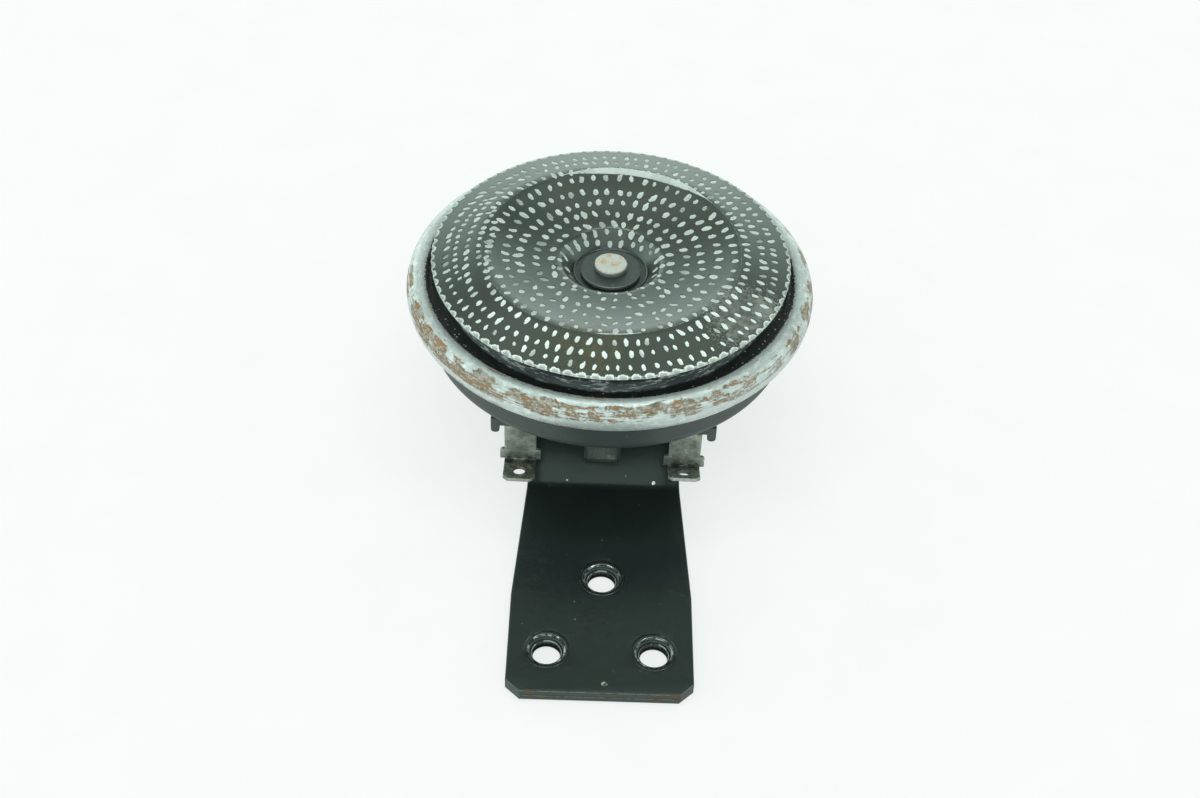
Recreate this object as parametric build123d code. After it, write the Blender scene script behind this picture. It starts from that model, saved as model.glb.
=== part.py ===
from build123d import *
import math
import os

# Electric disc horn on a laminated bracket, in millimetres.
# +Z points out of the tone disc, the bracket runs along -Y, and the origin is
# the middle threaded hole of the bracket, at the bracket's underside.

# ---- Bracket: two steel leaves, joggled up to the horn ----------------------
leaf_thickness = 1.4
leaf_end_half_width = 17.15      # over the parallel, bolted end
leaf_root_half_width = 13.6      # at the horn's axis, where the end is round
leaf_corner_x = 2.65             # cut-off corners of the free end
leaf_corner_y = 2.5
horn_axis_y = 53.0               # from the middle hole to the horn's axis
horn_turn = -1.0                 # of the horn on its bracket, in degrees
free_end_reach = 26.55           # from the middle hole to the free end
parallel_end_y = -4.2            # where the parallel end starts to taper
joggle_start_y = 24.0            # first bend, on the upper leaf's top face
joggle_rise = 7.3
joggle_angle = 40.0
joggle_radius = 4.0              # at the joint between the two leaves
pair_hole_y = -17.2
pair_hole_spacing = 19.8
thread_wall_radius = 2.7         # M6, at the flanks of the thread
thread_entry_radius = 1.3
collar_wall = 0.8
collar_gap = 0.1

# ---- Stud, nut and spring washer --------------------------------------------
stud_radius = 4.0                # M8
stud_tip_chamfer = 0.7
stud_clearance = 0.15
nut_height = 4.0
nut_across_flats = 13.0
nut_thread_clearance = 0.05
spring_washer_height = 1.6
spring_washer_width = 2.9
spring_washer_split = 1.2
nut_bevel_height = 0.55

# ---- Housing: drawn steel cup in two steps ----------------------------------
sheet = 1.0
shoulder_width = 12.9            # from the coil cup to the housing's outer wall
coil_cup_depth = 10.2            # outside, from the cup's floor up to the shoulder
rim_depth = 11.8                 # from the shoulder's underside to the top of the flange
shoulder_corner_radius = 3.0     # outer corners of the two steps
cup_corner_radius = 2.5
cup_mouth_radius = 1.3           # at mid sheet, like the two below
mouth_radius = 0.9
flange_bend_radius = 0.7
flange_width = 2.4
flange_skirt_length = 1.5

# ---- Crimp ring: rolled from zinc-plated sheet ------------------------------
ring_sheet = 1.0
ring_flange_gap = 0.7
ring_roll_width = 5.3
ring_roll_height = 6.8
ring_lip_angle = 130.0
ring_foot_gap = 0.55             # under the flange's skirt
ring_foot_side_gap = 0.3         # from the housing's wall

# ---- Diaphragm and its two gaskets ------------------------------------------
lower_gasket_thickness = 0.5
upper_gasket_thickness = 1.2
gasket_overhang = 0.1            # inside the housing's wall
gasket_edge_gap = 0.4
diaphragm_thickness = 0.4
diaphragm_foot_inset = 2.8       # from the gasket's bore
diaphragm_step = 1.5
diaphragm_step_run = 1.6
diaphragm_bend_radius = 0.6

# ---- Tone disc --------------------------------------------------------------
disc_sheet = 0.6
disc_edge_inset = 1.1            # from the housing's outer wall
disc_well_radius = 7.5
disc_lip_run = 2.9
disc_lip_rise = 3.4
disc_bowl_rise = 4.4
disc_crest_run = 4.9             # up from the bowl
disc_crest_rise = 6.5
disc_outer_run = 9.9             # down from the crest to the edge
disc_edge_rise = 4.3
disc_well_corner = 0.9
disc_lip_corner = 1.9
disc_bowl_corner = 16.0
disc_crest_corner = 3.2
scallop_count = 88
scallop_width = 2.25
scallop_depth = 0.26

# ---- Armature, with the stem that carries diaphragm and disc ----------------
armature_radius = 7.8
armature_length = 12.6
pusher_radius = 10.5
pusher_thickness = 2.8
back_washer_thickness = 0.8
back_washer_radius = 8.0
stem_radius = 2.6
stem_clearance = 0.05
head_radius = 3.27
head_height = 1.4
head_edge_radius = 0.35
front_washer_radius = 6.05
front_washer_thickness = 1.0
front_washer_edge_radius = 0.25
armature_foot_chamfer = 0.5
air_gap = 1.0

# ---- Coil and magnet frame --------------------------------------------------
core_radius = 9.4
bobbin_wall = 1.2
bobbin_flange = 1.0
bobbin_radius = 20.0
bobbin_cup_gap = 3.0
bobbin_fit = 0.2
winding_fit = 0.05               # round the barrel and under each flange
winding_inset = 1.2
pole_plate_thickness = 2.0
pole_plate_wall_gap = 2.9
pole_bore_gap = 0.5
pole_plate_flat_gap = 1.4        # outside the bobbin, for the coil's leads
pole_rivet_inset = 4.0
pole_rivet_angles = (25, 155, 205, 335)
rivet_radius = 1.5
rivet_head_radius = 2.6
rivet_head_height = 1.0
rivet_head_round = 0.6
rivet_fit = 0.1

# ---- Contact breaker, on the +X side ----------------------------------------
breaker_width = 8.0
insulator_length = 6.0
leaf_spring_thickness = 0.3
leaf_spring_overlap = 1.6        # under the pusher
leaf_spring_inset = 1.0          # each side of it, inside the stack
breaker_head_height = 0.5
pusher_gap = 0.3
contact_pusher_gap = 1.9
contact_radius = 1.6
contact_height = 0.8
fixed_arm_thickness = 0.8
fixed_arm_inner_overhang = 2.0   # past the contact's middle
fixed_arm_outer_overhang = 2.5   # past the adjusting screw's middle
stack_contact_distance = 6.0
adjuster_wall_distance = 8.4     # from the housing's outer wall
adjuster_radius = 2.0
adjuster_slot_width = 0.8
adjuster_slot_depth = 1.0
adjuster_reach = 2.6

# ---- Terminal block, terminals and leads ------------------------------------
terminal_width = 6.3
terminal_thickness = 0.8
terminal_x = 16.3
terminal_cup_distance = 4.6      # from the coil cup to the upright part's outer face
terminal_drop = 9.1              # from the block down to the top of the blade
terminal_blade_length = 6.4
terminal_left_lift = 8.0         # of a blade bent up in use, in degrees
terminal_right_lift = 23.0
terminal_ear_reach = 0.9
terminal_ear_height = 2.6
terminal_ear_radius = 0.6
terminal_hole_radius = 1.2
terminal_hole_inset = 2.7
terminal_tip_chamfer = 0.9
terminal_bend_radius = 0.9
terminal_tail_length = 4.9
block_thickness = 1.8
block_half_length = 22.1
block_depth = 11.8
block_cup_gap = 0.9
finger_width = 1.7
finger_length = 1.8
finger_depth = 1.8
finger_corner_radius = 0.75
key_half_width = 3.55
key_thickness = 2.0
key_length = 8.9
key_corner_radius = 0.9
boss_radius = 3.0
boss_height = 2.6
boss_gap = 0.2
terminal_rivet_radius = 1.2
terminal_rivet_head_radius = 2.2
terminal_rivet_inset = 3.4
block_rivet_x = 9.5
wire_radius = 0.3
wire_bend_radius = 1.2
lead_x = 4.0
lead_turn_x = 12.4
lead_turn_y = -16.0
lead_rivet_gap = 1.7
lead_plate_gap = 0.2
lead_end_shift = 0.9             # of a lead's end, from the middle of its rivet
joint_gap = 0.05                 # at the end of a soldered lead
resistor_radius = 1.6
resistor_length = 9.0
resistor_edge_radius = 0.4
resistor_wire_radius = 0.35

# ---- Heights that follow from the sizes above -------------------------------
leaf_joint_height = leaf_thickness
bracket_top = 2 * leaf_thickness
cup_floor_outer = bracket_top + joggle_rise
cup_floor_inner = cup_floor_outer + sheet
shoulder_height = cup_floor_outer + coil_cup_depth
shoulder_floor = shoulder_height + sheet
flange_top_height = shoulder_height + rim_depth
pole_plate_top = shoulder_floor + pole_plate_thickness
diaphragm_rim_top = flange_top_height + lower_gasket_thickness + diaphragm_thickness
gasket_top = diaphragm_rim_top + upper_gasket_thickness
diaphragm_crown = diaphragm_rim_top + diaphragm_step
disc_seat_top = diaphragm_crown + disc_sheet
front_washer_top = disc_seat_top + front_washer_thickness
pusher_top = diaphragm_crown - diaphragm_thickness - back_washer_thickness
pusher_underside = pusher_top - pusher_thickness
armature_foot = pusher_underside - armature_length
core_top = armature_foot - air_gap
spring_washer_top = joggle_rise
nut_top = spring_washer_top - spring_washer_height
leaf_spring_top = pusher_underside - pusher_gap
contact_joint = leaf_spring_top + contact_height
fixed_arm_underside = contact_joint + contact_height
block_underside = shoulder_height - block_thickness
boss_top = shoulder_floor + boss_height - sheet
terminal_blade_height = block_underside - terminal_drop
key_foot_height = block_underside - key_length

# ---- Radii and places that follow, from the horn's axis ----------------------
coil_cup_radius = bobbin_radius + bobbin_cup_gap + sheet
housing_outer_radius = coil_cup_radius + shoulder_width
flange_outer_radius = housing_outer_radius + flange_width
ring_outer_radius = flange_outer_radius + ring_flange_gap + ring_sheet
ring_foot_radius = housing_outer_radius + ring_foot_side_gap
housing_bore_radius = housing_outer_radius - sheet
gasket_inner_radius = housing_bore_radius - gasket_overhang
gasket_outer_radius = flange_outer_radius - gasket_edge_gap
diaphragm_foot_radius = gasket_inner_radius - diaphragm_foot_inset
stem_hole_radius = stem_radius + stem_clearance
disc_radius = housing_outer_radius - disc_edge_inset
disc_crest_radius = disc_radius - disc_outer_run
disc_bowl_radius = disc_crest_radius - disc_crest_run
disc_lip_radius = disc_well_radius + disc_lip_run
winding_radius = bobbin_radius - winding_inset
pole_plate_radius = housing_bore_radius - pole_plate_wall_gap
pole_plate_flat_y = -(bobbin_radius + pole_plate_flat_gap)
pole_rivet_circle = pole_plate_radius - pole_rivet_inset
leaf_spring_tip_x = pusher_radius - leaf_spring_overlap
contact_x = pusher_radius + contact_pusher_gap + contact_radius
breaker_x = contact_x + stack_contact_distance
adjuster_x = housing_outer_radius - adjuster_wall_distance
fixed_arm_inner_x = contact_x - fixed_arm_inner_overhang
fixed_arm_outer_x = adjuster_x + fixed_arm_outer_overhang
terminal_face_y = -(coil_cup_radius + terminal_cup_distance)
terminal_rivet_y = terminal_face_y + terminal_rivet_inset
block_inner_y = terminal_face_y + block_depth

horn_axis = Pos(0, horn_axis_y, 0) * Rot(0, 0, horn_turn)


def save(name, shape):
    """Write one node to its own STEP file."""
    os.makedirs("parts", exist_ok=True)
    export_step(shape, f"parts/{name}.step")


def turned(section):
    """Turn a radius-height section about the vertical axis."""
    return revolve(Plane.XZ * section, Axis.Z)


def ring_block(inner, outer, low, high):
    """Plain ring between two radii and two heights."""
    return Pos(0, 0, low) * extrude(Circle(outer) - Circle(inner), high - low)


def rod(x, y, radius, low, high):
    """Upright round rod."""
    return Pos(x, y, low) * extrude(Circle(radius), high - low)


def block(x_span, y_span, z_span):
    """Rectangular block between pairs of limits."""
    size = [span[1] - span[0] for span in (x_span, y_span, z_span)]
    middle = [(span[0] + span[1]) / 2 for span in (x_span, y_span, z_span)]
    return Pos(*middle) * Box(*size)


def rivet(x, y, radius, head_radius, low, high):
    """Rivet whose two rounded heads grip from low to high."""
    shank = rod(x, y, radius, low, high)
    lower_head = rod(x, y, head_radius, low - rivet_head_height, low)
    upper_head = rod(x, y, head_radius, high, high + rivet_head_height)
    lower_head = fillet(lower_head.edges().group_by(Axis.Z)[0], rivet_head_round)
    upper_head = fillet(upper_head.edges().group_by(Axis.Z)[-1], rivet_head_round)
    return shank + lower_head + upper_head


def wire(points, radius, bend):
    """Round wire through points, with a bend at each inner one."""
    path = FilletPolyline(*points, radius=bend)
    start = Plane(origin=path @ 0, z_dir=path % 0)
    return sweep(start * Circle(radius), path=path)


# ---- Bracket ----------------------------------------------------------------
pair_hole_x = pair_hole_spacing / 2
hole_places = [(0, 0), (-pair_hole_x, pair_hole_y), (pair_hole_x, pair_hole_y)]


def leaf_outline():
    """Plan of both leaves: cut corners, parallel end, long taper, round root."""
    side_x = leaf_end_half_width
    end_y = -free_end_reach
    half = [
        (side_x - leaf_corner_x, end_y),
        (side_x, end_y + leaf_corner_y),
        (side_x, parallel_end_y),
        (leaf_root_half_width, horn_axis_y),
    ]
    mirrored = [(-x, y) for x, y in reversed(half)]
    plan = make_face(Polyline(*half, *mirrored, close=True))
    return plan + Pos(0, horn_axis_y) * Circle(leaf_root_half_width)


def bracket_leaf(offset):
    """One leaf, whose middle surface lies offset above the joint between the leaves."""
    slope = math.radians(joggle_angle)
    shift = math.tan(slope / 2)
    first_bend = joggle_start_y + leaf_thickness * shift - offset * shift
    second_bend = first_bend + joggle_rise / math.tan(slope)
    low = leaf_joint_height + offset
    high = low + joggle_rise
    far_end = horn_axis_y + leaf_root_half_width + sheet
    near_end = -free_end_reach - sheet
    corners = [(near_end, low), (first_bend, low), (second_bend, high), (far_end, high)]
    bends = (joggle_radius - offset, joggle_radius + offset)
    section = trace(FilletPolyline(*corners, radius=bends), leaf_thickness)
    strip = extrude(Plane.YZ * section, leaf_end_half_width + sheet, both=True)
    outline = extrude(leaf_outline(), high + leaf_thickness)
    return strip & outline


def stud_hole():
    """Cutter for the stud's hole at the root of both leaves."""
    return horn_axis * rod(0, 0, stud_radius + stud_clearance, 0, cup_floor_inner)


def bracket_upper():
    """Upper leaf, with three threaded collars drawn down through the lower leaf."""
    leaf = bracket_leaf(leaf_thickness / 2)
    for x, y in hole_places:
        leaf += rod(x, y, thread_wall_radius + collar_wall, 0, bracket_top)
    for x, y in hole_places:
        leaf -= rod(x, y, thread_wall_radius, 0, bracket_top)
    entry_edges = [
        edge
        for edge in leaf.edges().filter_by(GeomType.CIRCLE)
        if abs(edge.radius - thread_wall_radius) < 0.01 and edge.center().Z > leaf_thickness
    ]
    leaf = fillet(entry_edges, thread_entry_radius)
    return leaf - stud_hole()


def bracket_lower():
    """Lower leaf, with clearance holes for the collars."""
    leaf = bracket_leaf(-leaf_thickness / 2)
    hole_radius = thread_wall_radius + collar_wall + collar_gap
    for x, y in hole_places:
        leaf -= rod(x, y, hole_radius, 0, bracket_top)
    return leaf - stud_hole()


save("bracket_upper", bracket_upper())
save("bracket_lower", bracket_lower())


# ---- Fixing at the back of the horn -----------------------------------------
def spring_washer():
    """Split spring washer, drawn flat."""
    inner = stud_radius + stud_clearance
    washer = ring_block(inner, inner + spring_washer_width, nut_top, spring_washer_top)
    half_split = spring_washer_split / 2
    split = block((0, inner + 2 * spring_washer_width), (-half_split, half_split), (0, joggle_rise))
    return washer - split


def stud_nut():
    """Thin hexagon nut with chamfered corners."""
    corner_radius = nut_across_flats / math.sqrt(3)
    hexagon = extrude(RegularPolygon(corner_radius, 6), nut_height)
    bevel = corner_radius - nut_across_flats / 2
    cone = chamfer(extrude(Circle(corner_radius), nut_height).edges(), nut_bevel_height, bevel)
    nut = Pos(0, 0, nut_top - nut_height) * (hexagon & cone)
    return nut - rod(0, 0, stud_radius + nut_thread_clearance, 0, spring_washer_top)


save("spring_washer", horn_axis * spring_washer())
save("stud_nut", horn_axis * stud_nut())


# ---- Housing ----------------------------------------------------------------
def rivet_places():
    """Where the pole plate is riveted to the shoulder of the housing."""
    turns = [math.radians(angle) for angle in pole_rivet_angles]
    return [(pole_rivet_circle * math.cos(a), pole_rivet_circle * math.sin(a)) for a in turns]


def plate_holes():
    """Cutters for the plate rivets and the adjusting screw, through shoulder and pole plate."""
    places = [(x, y, rivet_radius) for x, y in rivet_places()]
    places.append((adjuster_x, 0, adjuster_radius))
    low = shoulder_height - sheet
    return [rod(x, y, radius + rivet_fit, low, pole_plate_top) for x, y, radius in places]


def block_holes():
    """Cutters for the block's bosses and its two rivets, through the shoulder."""
    cutters = []
    for side in (-1, 1):
        boss = (side * terminal_x, terminal_rivet_y, boss_radius + boss_gap)
        shank = (side * block_rivet_x, terminal_rivet_y, rivet_radius + rivet_fit)
        cutters += [rod(*place, shoulder_height - sheet, pole_plate_top) for place in (boss, shank)]
    return cutters


def housing():
    """Flange with a turned-down skirt, wall, shoulder and the deeper coil cup."""
    mid = sheet / 2
    skirt_x = flange_outer_radius - mid
    wall_x = housing_outer_radius - mid
    cup_x = coil_cup_radius - mid
    corners = [
        (skirt_x, flange_top_height - flange_skirt_length),
        (skirt_x, flange_top_height - mid),
        (wall_x, flange_top_height - mid),
        (wall_x, shoulder_height + mid),
        (cup_x, shoulder_height + mid),
        (cup_x, cup_floor_outer + mid),
        (stud_radius + stud_clearance, cup_floor_outer + mid),
    ]
    bends = (
        flange_bend_radius,
        mouth_radius,
        shoulder_corner_radius - mid,
        cup_mouth_radius,
        cup_corner_radius - mid,
    )
    shell = turned(trace(FilletPolyline(*corners, radius=bends), sheet))
    return shell - plate_holes() - block_holes()


def crimp_ring():
    """Ring rolled round the flange, the gaskets and the rim of the diaphragm."""
    half_width = (ring_roll_width - ring_sheet) / 2
    half_height = (ring_roll_height - ring_sheet) / 2
    roll_x = ring_outer_radius - ring_roll_width / 2
    foot_underside = flange_top_height - flange_skirt_length - ring_foot_gap - ring_sheet
    roll_z = foot_underside + ring_roll_height / 2
    centre = (roll_x, roll_z)
    roll = EllipticalCenterArc(centre, half_width, half_height, -90, arc_size=ring_lip_angle + 90)
    foot = Line((ring_foot_radius, roll_z - half_height), (roll_x, roll_z - half_height))
    return turned(trace(foot + roll, ring_sheet))


save("housing", horn_axis * housing())
save("crimp_ring", horn_axis * crimp_ring())


# ---- Diaphragm and gaskets --------------------------------------------------
def diaphragm():
    """Spring-steel disc, clamped at its rim and stepped up inside it."""
    mid = diaphragm_thickness / 2
    corners = [
        (gasket_outer_radius, diaphragm_rim_top - mid),
        (diaphragm_foot_radius, diaphragm_rim_top - mid),
        (diaphragm_foot_radius - diaphragm_step_run, diaphragm_crown - mid),
        (stem_hole_radius, diaphragm_crown - mid),
    ]
    middle_line = FilletPolyline(*corners, radius=diaphragm_bend_radius)
    return turned(trace(middle_line, diaphragm_thickness))


lower_gasket_top = flange_top_height + lower_gasket_thickness
gasket_radii = (gasket_inner_radius, gasket_outer_radius)
save("diaphragm", horn_axis * diaphragm())
save("gasket_lower", horn_axis * ring_block(*gasket_radii, flange_top_height, lower_gasket_top))
save("gasket_upper", horn_axis * ring_block(*gasket_radii, diaphragm_rim_top, gasket_top))


# ---- Tone disc --------------------------------------------------------------
def tone_disc():
    """Dished sheet disc: seat, well, shallow bowl, raised crest and scalloped outer slope."""
    seat = disc_seat_top - disc_sheet / 2
    corners = [
        (stem_hole_radius, seat),
        (disc_well_radius, seat),
        (disc_lip_radius, seat + disc_lip_rise),
        (disc_bowl_radius, seat + disc_bowl_rise),
        (disc_crest_radius, seat + disc_crest_rise),
        (disc_radius, seat + disc_edge_rise),
    ]
    bends = (disc_well_corner, disc_lip_corner, disc_bowl_corner, disc_crest_corner)
    disc = turned(trace(FilletPolyline(*corners, radius=bends), disc_sheet))
    ball_radius = (scallop_width**2 / 4 + scallop_depth**2) / (2 * scallop_depth)
    edge_top = seat + disc_edge_rise + disc_sheet / 2
    ball = Pos(disc_radius, 0, edge_top + ball_radius - scallop_depth) * Sphere(ball_radius)
    balls = [Rot(0, 0, 360 * i / scallop_count) * ball for i in range(scallop_count)]
    return disc - balls


save("tone_disc", horn_axis * tone_disc())


# ---- Armature and what it carries -------------------------------------------
def armature():
    """Plunger, pusher flange, stem and the head peened over the front washer."""
    body = rod(0, 0, armature_radius, armature_foot, pusher_underside)
    pusher = rod(0, 0, pusher_radius, pusher_underside, pusher_top)
    stem = rod(0, 0, stem_radius, pusher_top, front_washer_top)
    head = rod(0, 0, head_radius, front_washer_top, front_washer_top + head_height)
    head = fillet(head.edges().group_by(Axis.Z)[-1], head_edge_radius)
    body = chamfer(body.edges().group_by(Axis.Z)[0], armature_foot_chamfer)
    return body + pusher + stem + head


def front_washer():
    """Washer under the peened head, with its rim rounded off on top."""
    washer = ring_block(stem_hole_radius, front_washer_radius, disc_seat_top, front_washer_top)
    rim = washer.edges().group_by(Axis.Z)[-1].sort_by(SortBy.RADIUS)[-1]
    return fillet(rim, front_washer_edge_radius)


back_washer_top = pusher_top + back_washer_thickness
back_washer = ring_block(stem_hole_radius, back_washer_radius, pusher_top, back_washer_top)
save("armature", horn_axis * armature())
save("back_washer", horn_axis * back_washer)
save("front_washer", horn_axis * front_washer())


# ---- Coil, core and pole plate ----------------------------------------------
bobbin_bore = core_radius + bobbin_fit
bobbin_low = cup_floor_inner
bobbin_high = shoulder_floor - bobbin_fit


def core_stud():
    """Iron core inside the coil, with the threaded stud that leaves the back of the housing."""
    core = rod(0, 0, core_radius, cup_floor_inner, core_top)
    stud = rod(0, 0, stud_radius, 0, cup_floor_inner)
    stud = chamfer(stud.edges().group_by(Axis.Z)[0], stud_tip_chamfer)
    return core + stud


def coil_bobbin():
    """Moulded spool with two flanges."""
    barrel = ring_block(bobbin_bore, bobbin_bore + bobbin_wall, bobbin_low, bobbin_high)
    lower = ring_block(bobbin_bore, bobbin_radius, bobbin_low, bobbin_low + bobbin_flange)
    upper = ring_block(bobbin_bore, bobbin_radius, bobbin_high - bobbin_flange, bobbin_high)
    return barrel + lower + upper


def pole_plate():
    """Thick steel plate that closes the magnet frame round the armature."""
    bore = armature_radius + pole_bore_gap
    plate = ring_block(bore, pole_plate_radius, shoulder_floor, pole_plate_top)
    reach = (-pole_plate_radius, pole_plate_radius)
    front = block(reach, (-pole_plate_radius, pole_plate_flat_y), (shoulder_floor, pole_plate_top))
    return plate - front - plate_holes()


def pole_plate_rivets():
    """Rivets through the pole plate and the housing's shoulder."""
    size = (rivet_radius, rivet_head_radius, shoulder_height, pole_plate_top)
    return [rivet(x, y, *size) for x, y in rivet_places()]


winding_bore = bobbin_bore + bobbin_wall + winding_fit
flange_fit = bobbin_flange + winding_fit
winding_span = (bobbin_low + flange_fit, bobbin_high - flange_fit)
winding = ring_block(winding_bore, winding_radius, *winding_span)
save("core_stud", horn_axis * core_stud())
save("coil_bobbin", horn_axis * coil_bobbin())
save("coil_winding", horn_axis * winding)
save("pole_plate", horn_axis * pole_plate())
save("pole_plate_rivets", Compound(children=[horn_axis * one for one in pole_plate_rivets()]))


# ---- Contact breaker --------------------------------------------------------
stack_x = (breaker_x - insulator_length / 2, breaker_x + insulator_length / 2)
stack_y = (-breaker_width / 2, breaker_width / 2)
spring_x = (leaf_spring_tip_x, stack_x[1])
spring_y = (stack_y[0] + leaf_spring_inset, stack_y[1] - leaf_spring_inset)
spring_z = (leaf_spring_top - leaf_spring_thickness, leaf_spring_top)
arm_x = (fixed_arm_inner_x, fixed_arm_outer_x)
arm_z = (fixed_arm_underside, fixed_arm_underside + fixed_arm_thickness)
stack_hole = rod(breaker_x, 0, rivet_radius + rivet_fit, 0, diaphragm_crown)
insulator_lower = block(stack_x, stack_y, (pole_plate_top, spring_z[0])) - stack_hole
contact_spring = block(spring_x, spring_y, spring_z) - stack_hole
insulator_upper = block(stack_x, stack_y, (spring_z[1], arm_z[0])) - stack_hole
fixed_arm = block(arm_x, stack_y, arm_z) - stack_hole
moving_contact = rod(contact_x, 0, contact_radius, spring_z[1], contact_joint)
fixed_contact = rod(contact_x, 0, contact_radius, contact_joint, arm_z[0])


def breaker_rivet():
    """Headed rivet that holds the stack down on the pole plate."""
    shank = rod(breaker_x, 0, rivet_radius, pole_plate_top, arm_z[1])
    return shank + rod(breaker_x, 0, rivet_head_radius, arm_z[1], arm_z[1] + breaker_head_height)


def adjusting_screw():
    """Screw from the back, whose end bears under the fixed arm, with a slot to turn it."""
    end = shoulder_height - adjuster_reach
    screw = rod(adjuster_x, 0, adjuster_radius, end, arm_z[0])
    slot_x = (adjuster_x - adjuster_radius, adjuster_x + adjuster_radius)
    slot_y = (-adjuster_slot_width / 2, adjuster_slot_width / 2)
    return screw - block(slot_x, slot_y, (end, end + adjuster_slot_depth))


save("insulator_lower", horn_axis * insulator_lower)
save("insulator_upper", horn_axis * insulator_upper)
save("contact_spring", horn_axis * contact_spring)
save("fixed_arm", horn_axis * fixed_arm)
save("moving_contact", horn_axis * moving_contact)
save("fixed_contact", horn_axis * fixed_contact)
save("breaker_rivet", horn_axis * breaker_rivet())
save("adjusting_screw", horn_axis * adjusting_screw())


# ---- Terminal block ---------------------------------------------------------
def hanging_tab(x, half_width, depth, low, corner):
    """Tab hanging from the front edge of the block, with its two lower corners rounded."""
    y_span = (terminal_face_y, terminal_face_y + depth)
    tab = block((x - half_width, x + half_width), y_span, (low, block_underside))
    return fillet(tab.edges().filter_by(Axis.Y).group_by(Axis.Z)[0], corner)


def terminal_block():
    """Moulded bar under the shoulder, with two end fingers, a middle key and two bosses."""
    span_x = (-block_half_length, block_half_length)
    bar = block(span_x, (terminal_face_y, block_inner_y), (block_underside, shoulder_height))
    bar -= rod(0, 0, coil_cup_radius + block_cup_gap, block_underside, shoulder_height)
    bar += hanging_tab(0, key_half_width, key_thickness, key_foot_height, key_corner_radius)
    finger_low = block_underside - finger_length
    half_finger = finger_width / 2
    for side in (-1, 1):
        finger_x = side * (block_half_length - half_finger)
        bar += hanging_tab(finger_x, half_finger, finger_depth, finger_low, finger_corner_radius)
        bar += rod(side * terminal_x, terminal_rivet_y, boss_radius, block_underside, boss_top)
    for side in (-1, 1):
        bores = [(terminal_x, terminal_rivet_radius), (block_rivet_x, rivet_radius)]
        for x, radius in bores:
            bar -= rod(side * x, terminal_rivet_y, radius + rivet_fit, block_underside, boss_top)
    return bar


def terminal(side, lift):
    """Blade lifted by some degrees, upright with two ears, and the tail riveted under the block."""
    mid = terminal_thickness / 2
    upright_y = terminal_face_y + mid
    tail_z = block_underside - mid
    blade_z = terminal_blade_height - mid
    tail_end = upright_y + terminal_tail_length
    reach = terminal_blade_length + mid
    slope = math.radians(lift)
    tip = (upright_y - reach * math.cos(slope), blade_z + reach * math.sin(slope))
    corners = [tip, (upright_y, blade_z), (upright_y, tail_z), (tail_end, tail_z)]
    section = trace(FilletPolyline(*corners, radius=terminal_bend_radius), terminal_thickness)
    strip = extrude(Plane.YZ * section, terminal_width / 2, both=True)
    across = Axis((0, 0, 0), (0, math.sin(slope), math.cos(slope)))
    tip_corners = strip.edges().filter_by(across).group_by(Axis.Y)[0]
    strip = chamfer(tip_corners, terminal_tip_chamfer)
    ear_x = terminal_width / 2 + terminal_ear_reach
    ear_z = (terminal_blade_height, terminal_blade_height + terminal_ear_height)
    ears = block((-ear_x, ear_x), (terminal_face_y, terminal_face_y + terminal_thickness), ear_z)
    strip += fillet(ears.edges().filter_by(Axis.Y).group_by(Axis.Z)[-1], terminal_ear_radius)
    blade = Pos(0, upright_y, blade_z) * Rot(-lift, 0, 0)
    hole_y = terminal_hole_inset - reach
    strip -= blade * rod(0, hole_y, terminal_hole_radius, -terminal_thickness, terminal_thickness)
    bore_radius = terminal_rivet_radius + rivet_fit
    strip -= rod(0, terminal_rivet_y, bore_radius, terminal_blade_height, shoulder_height)
    return Pos(side * terminal_x, 0, 0) * strip


def pair_of_rivets(x, *size):
    """Two rivets, one on each side of the middle."""
    both = [rivet(side * x, terminal_rivet_y, *size) for side in (-1, 1)]
    return Compound(children=[horn_axis * one for one in both])


save("terminal_block", horn_axis * terminal_block())
save("terminal_left", horn_axis * terminal(-1, terminal_left_lift))
save("terminal_right", horn_axis * terminal(1, terminal_right_lift))
tail_grip = (block_underside - terminal_thickness, boss_top)
block_grip = (block_underside, shoulder_floor)
small_rivet = (terminal_rivet_radius, terminal_rivet_head_radius)
save("terminal_rivets", pair_of_rivets(terminal_x, *small_rivet, *tail_grip))
save("block_rivets", pair_of_rivets(block_rivet_x, rivet_radius, rivet_head_radius, *block_grip))


# ---- Leads inside the horn --------------------------------------------------
rivet_head_top = boss_top + rivet_head_height
wire_height = rivet_head_top + wire_radius
upper_wire_height = wire_height + 4 * wire_radius
winding_middle = sum(winding_span) / 2
winding_face_y = -math.sqrt(winding_radius**2 - (lead_x - wire_radius) ** 2) - joint_gap
lead_out_y = pole_plate_flat_y - wire_radius - lead_plate_gap
lead_end_x = terminal_x - lead_end_shift
lead_end_y = terminal_rivet_y + lead_end_shift
lead_down_y = stack_y[0] - 2
spring_lead_x = stack_x[0] - 2 * wire_radius
spring_middle = sum(spring_z) / 2
plate_rivet_x = max(x for x, y in rivet_places())
arm_lead_x = plate_rivet_x - rivet_head_radius - lead_rivet_gap
arm_middle = sum(arm_z) / 2
lead_start_points = [
    (-lead_x, winding_face_y, winding_middle),
    (-lead_x, lead_out_y, winding_middle),
    (-lead_x, lead_out_y, wire_height),
    (-lead_end_x, lead_end_y, wire_height),
]
lead_end_points = [
    (lead_x, winding_face_y, winding_middle),
    (lead_x, lead_out_y, winding_middle),
    (lead_x, lead_out_y, upper_wire_height),
    (lead_turn_x, lead_turn_y, upper_wire_height),
    (spring_lead_x, lead_down_y, upper_wire_height),
    (spring_lead_x, lead_down_y, spring_middle),
    (spring_lead_x, spring_y[0] - joint_gap, spring_middle),
]
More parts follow.
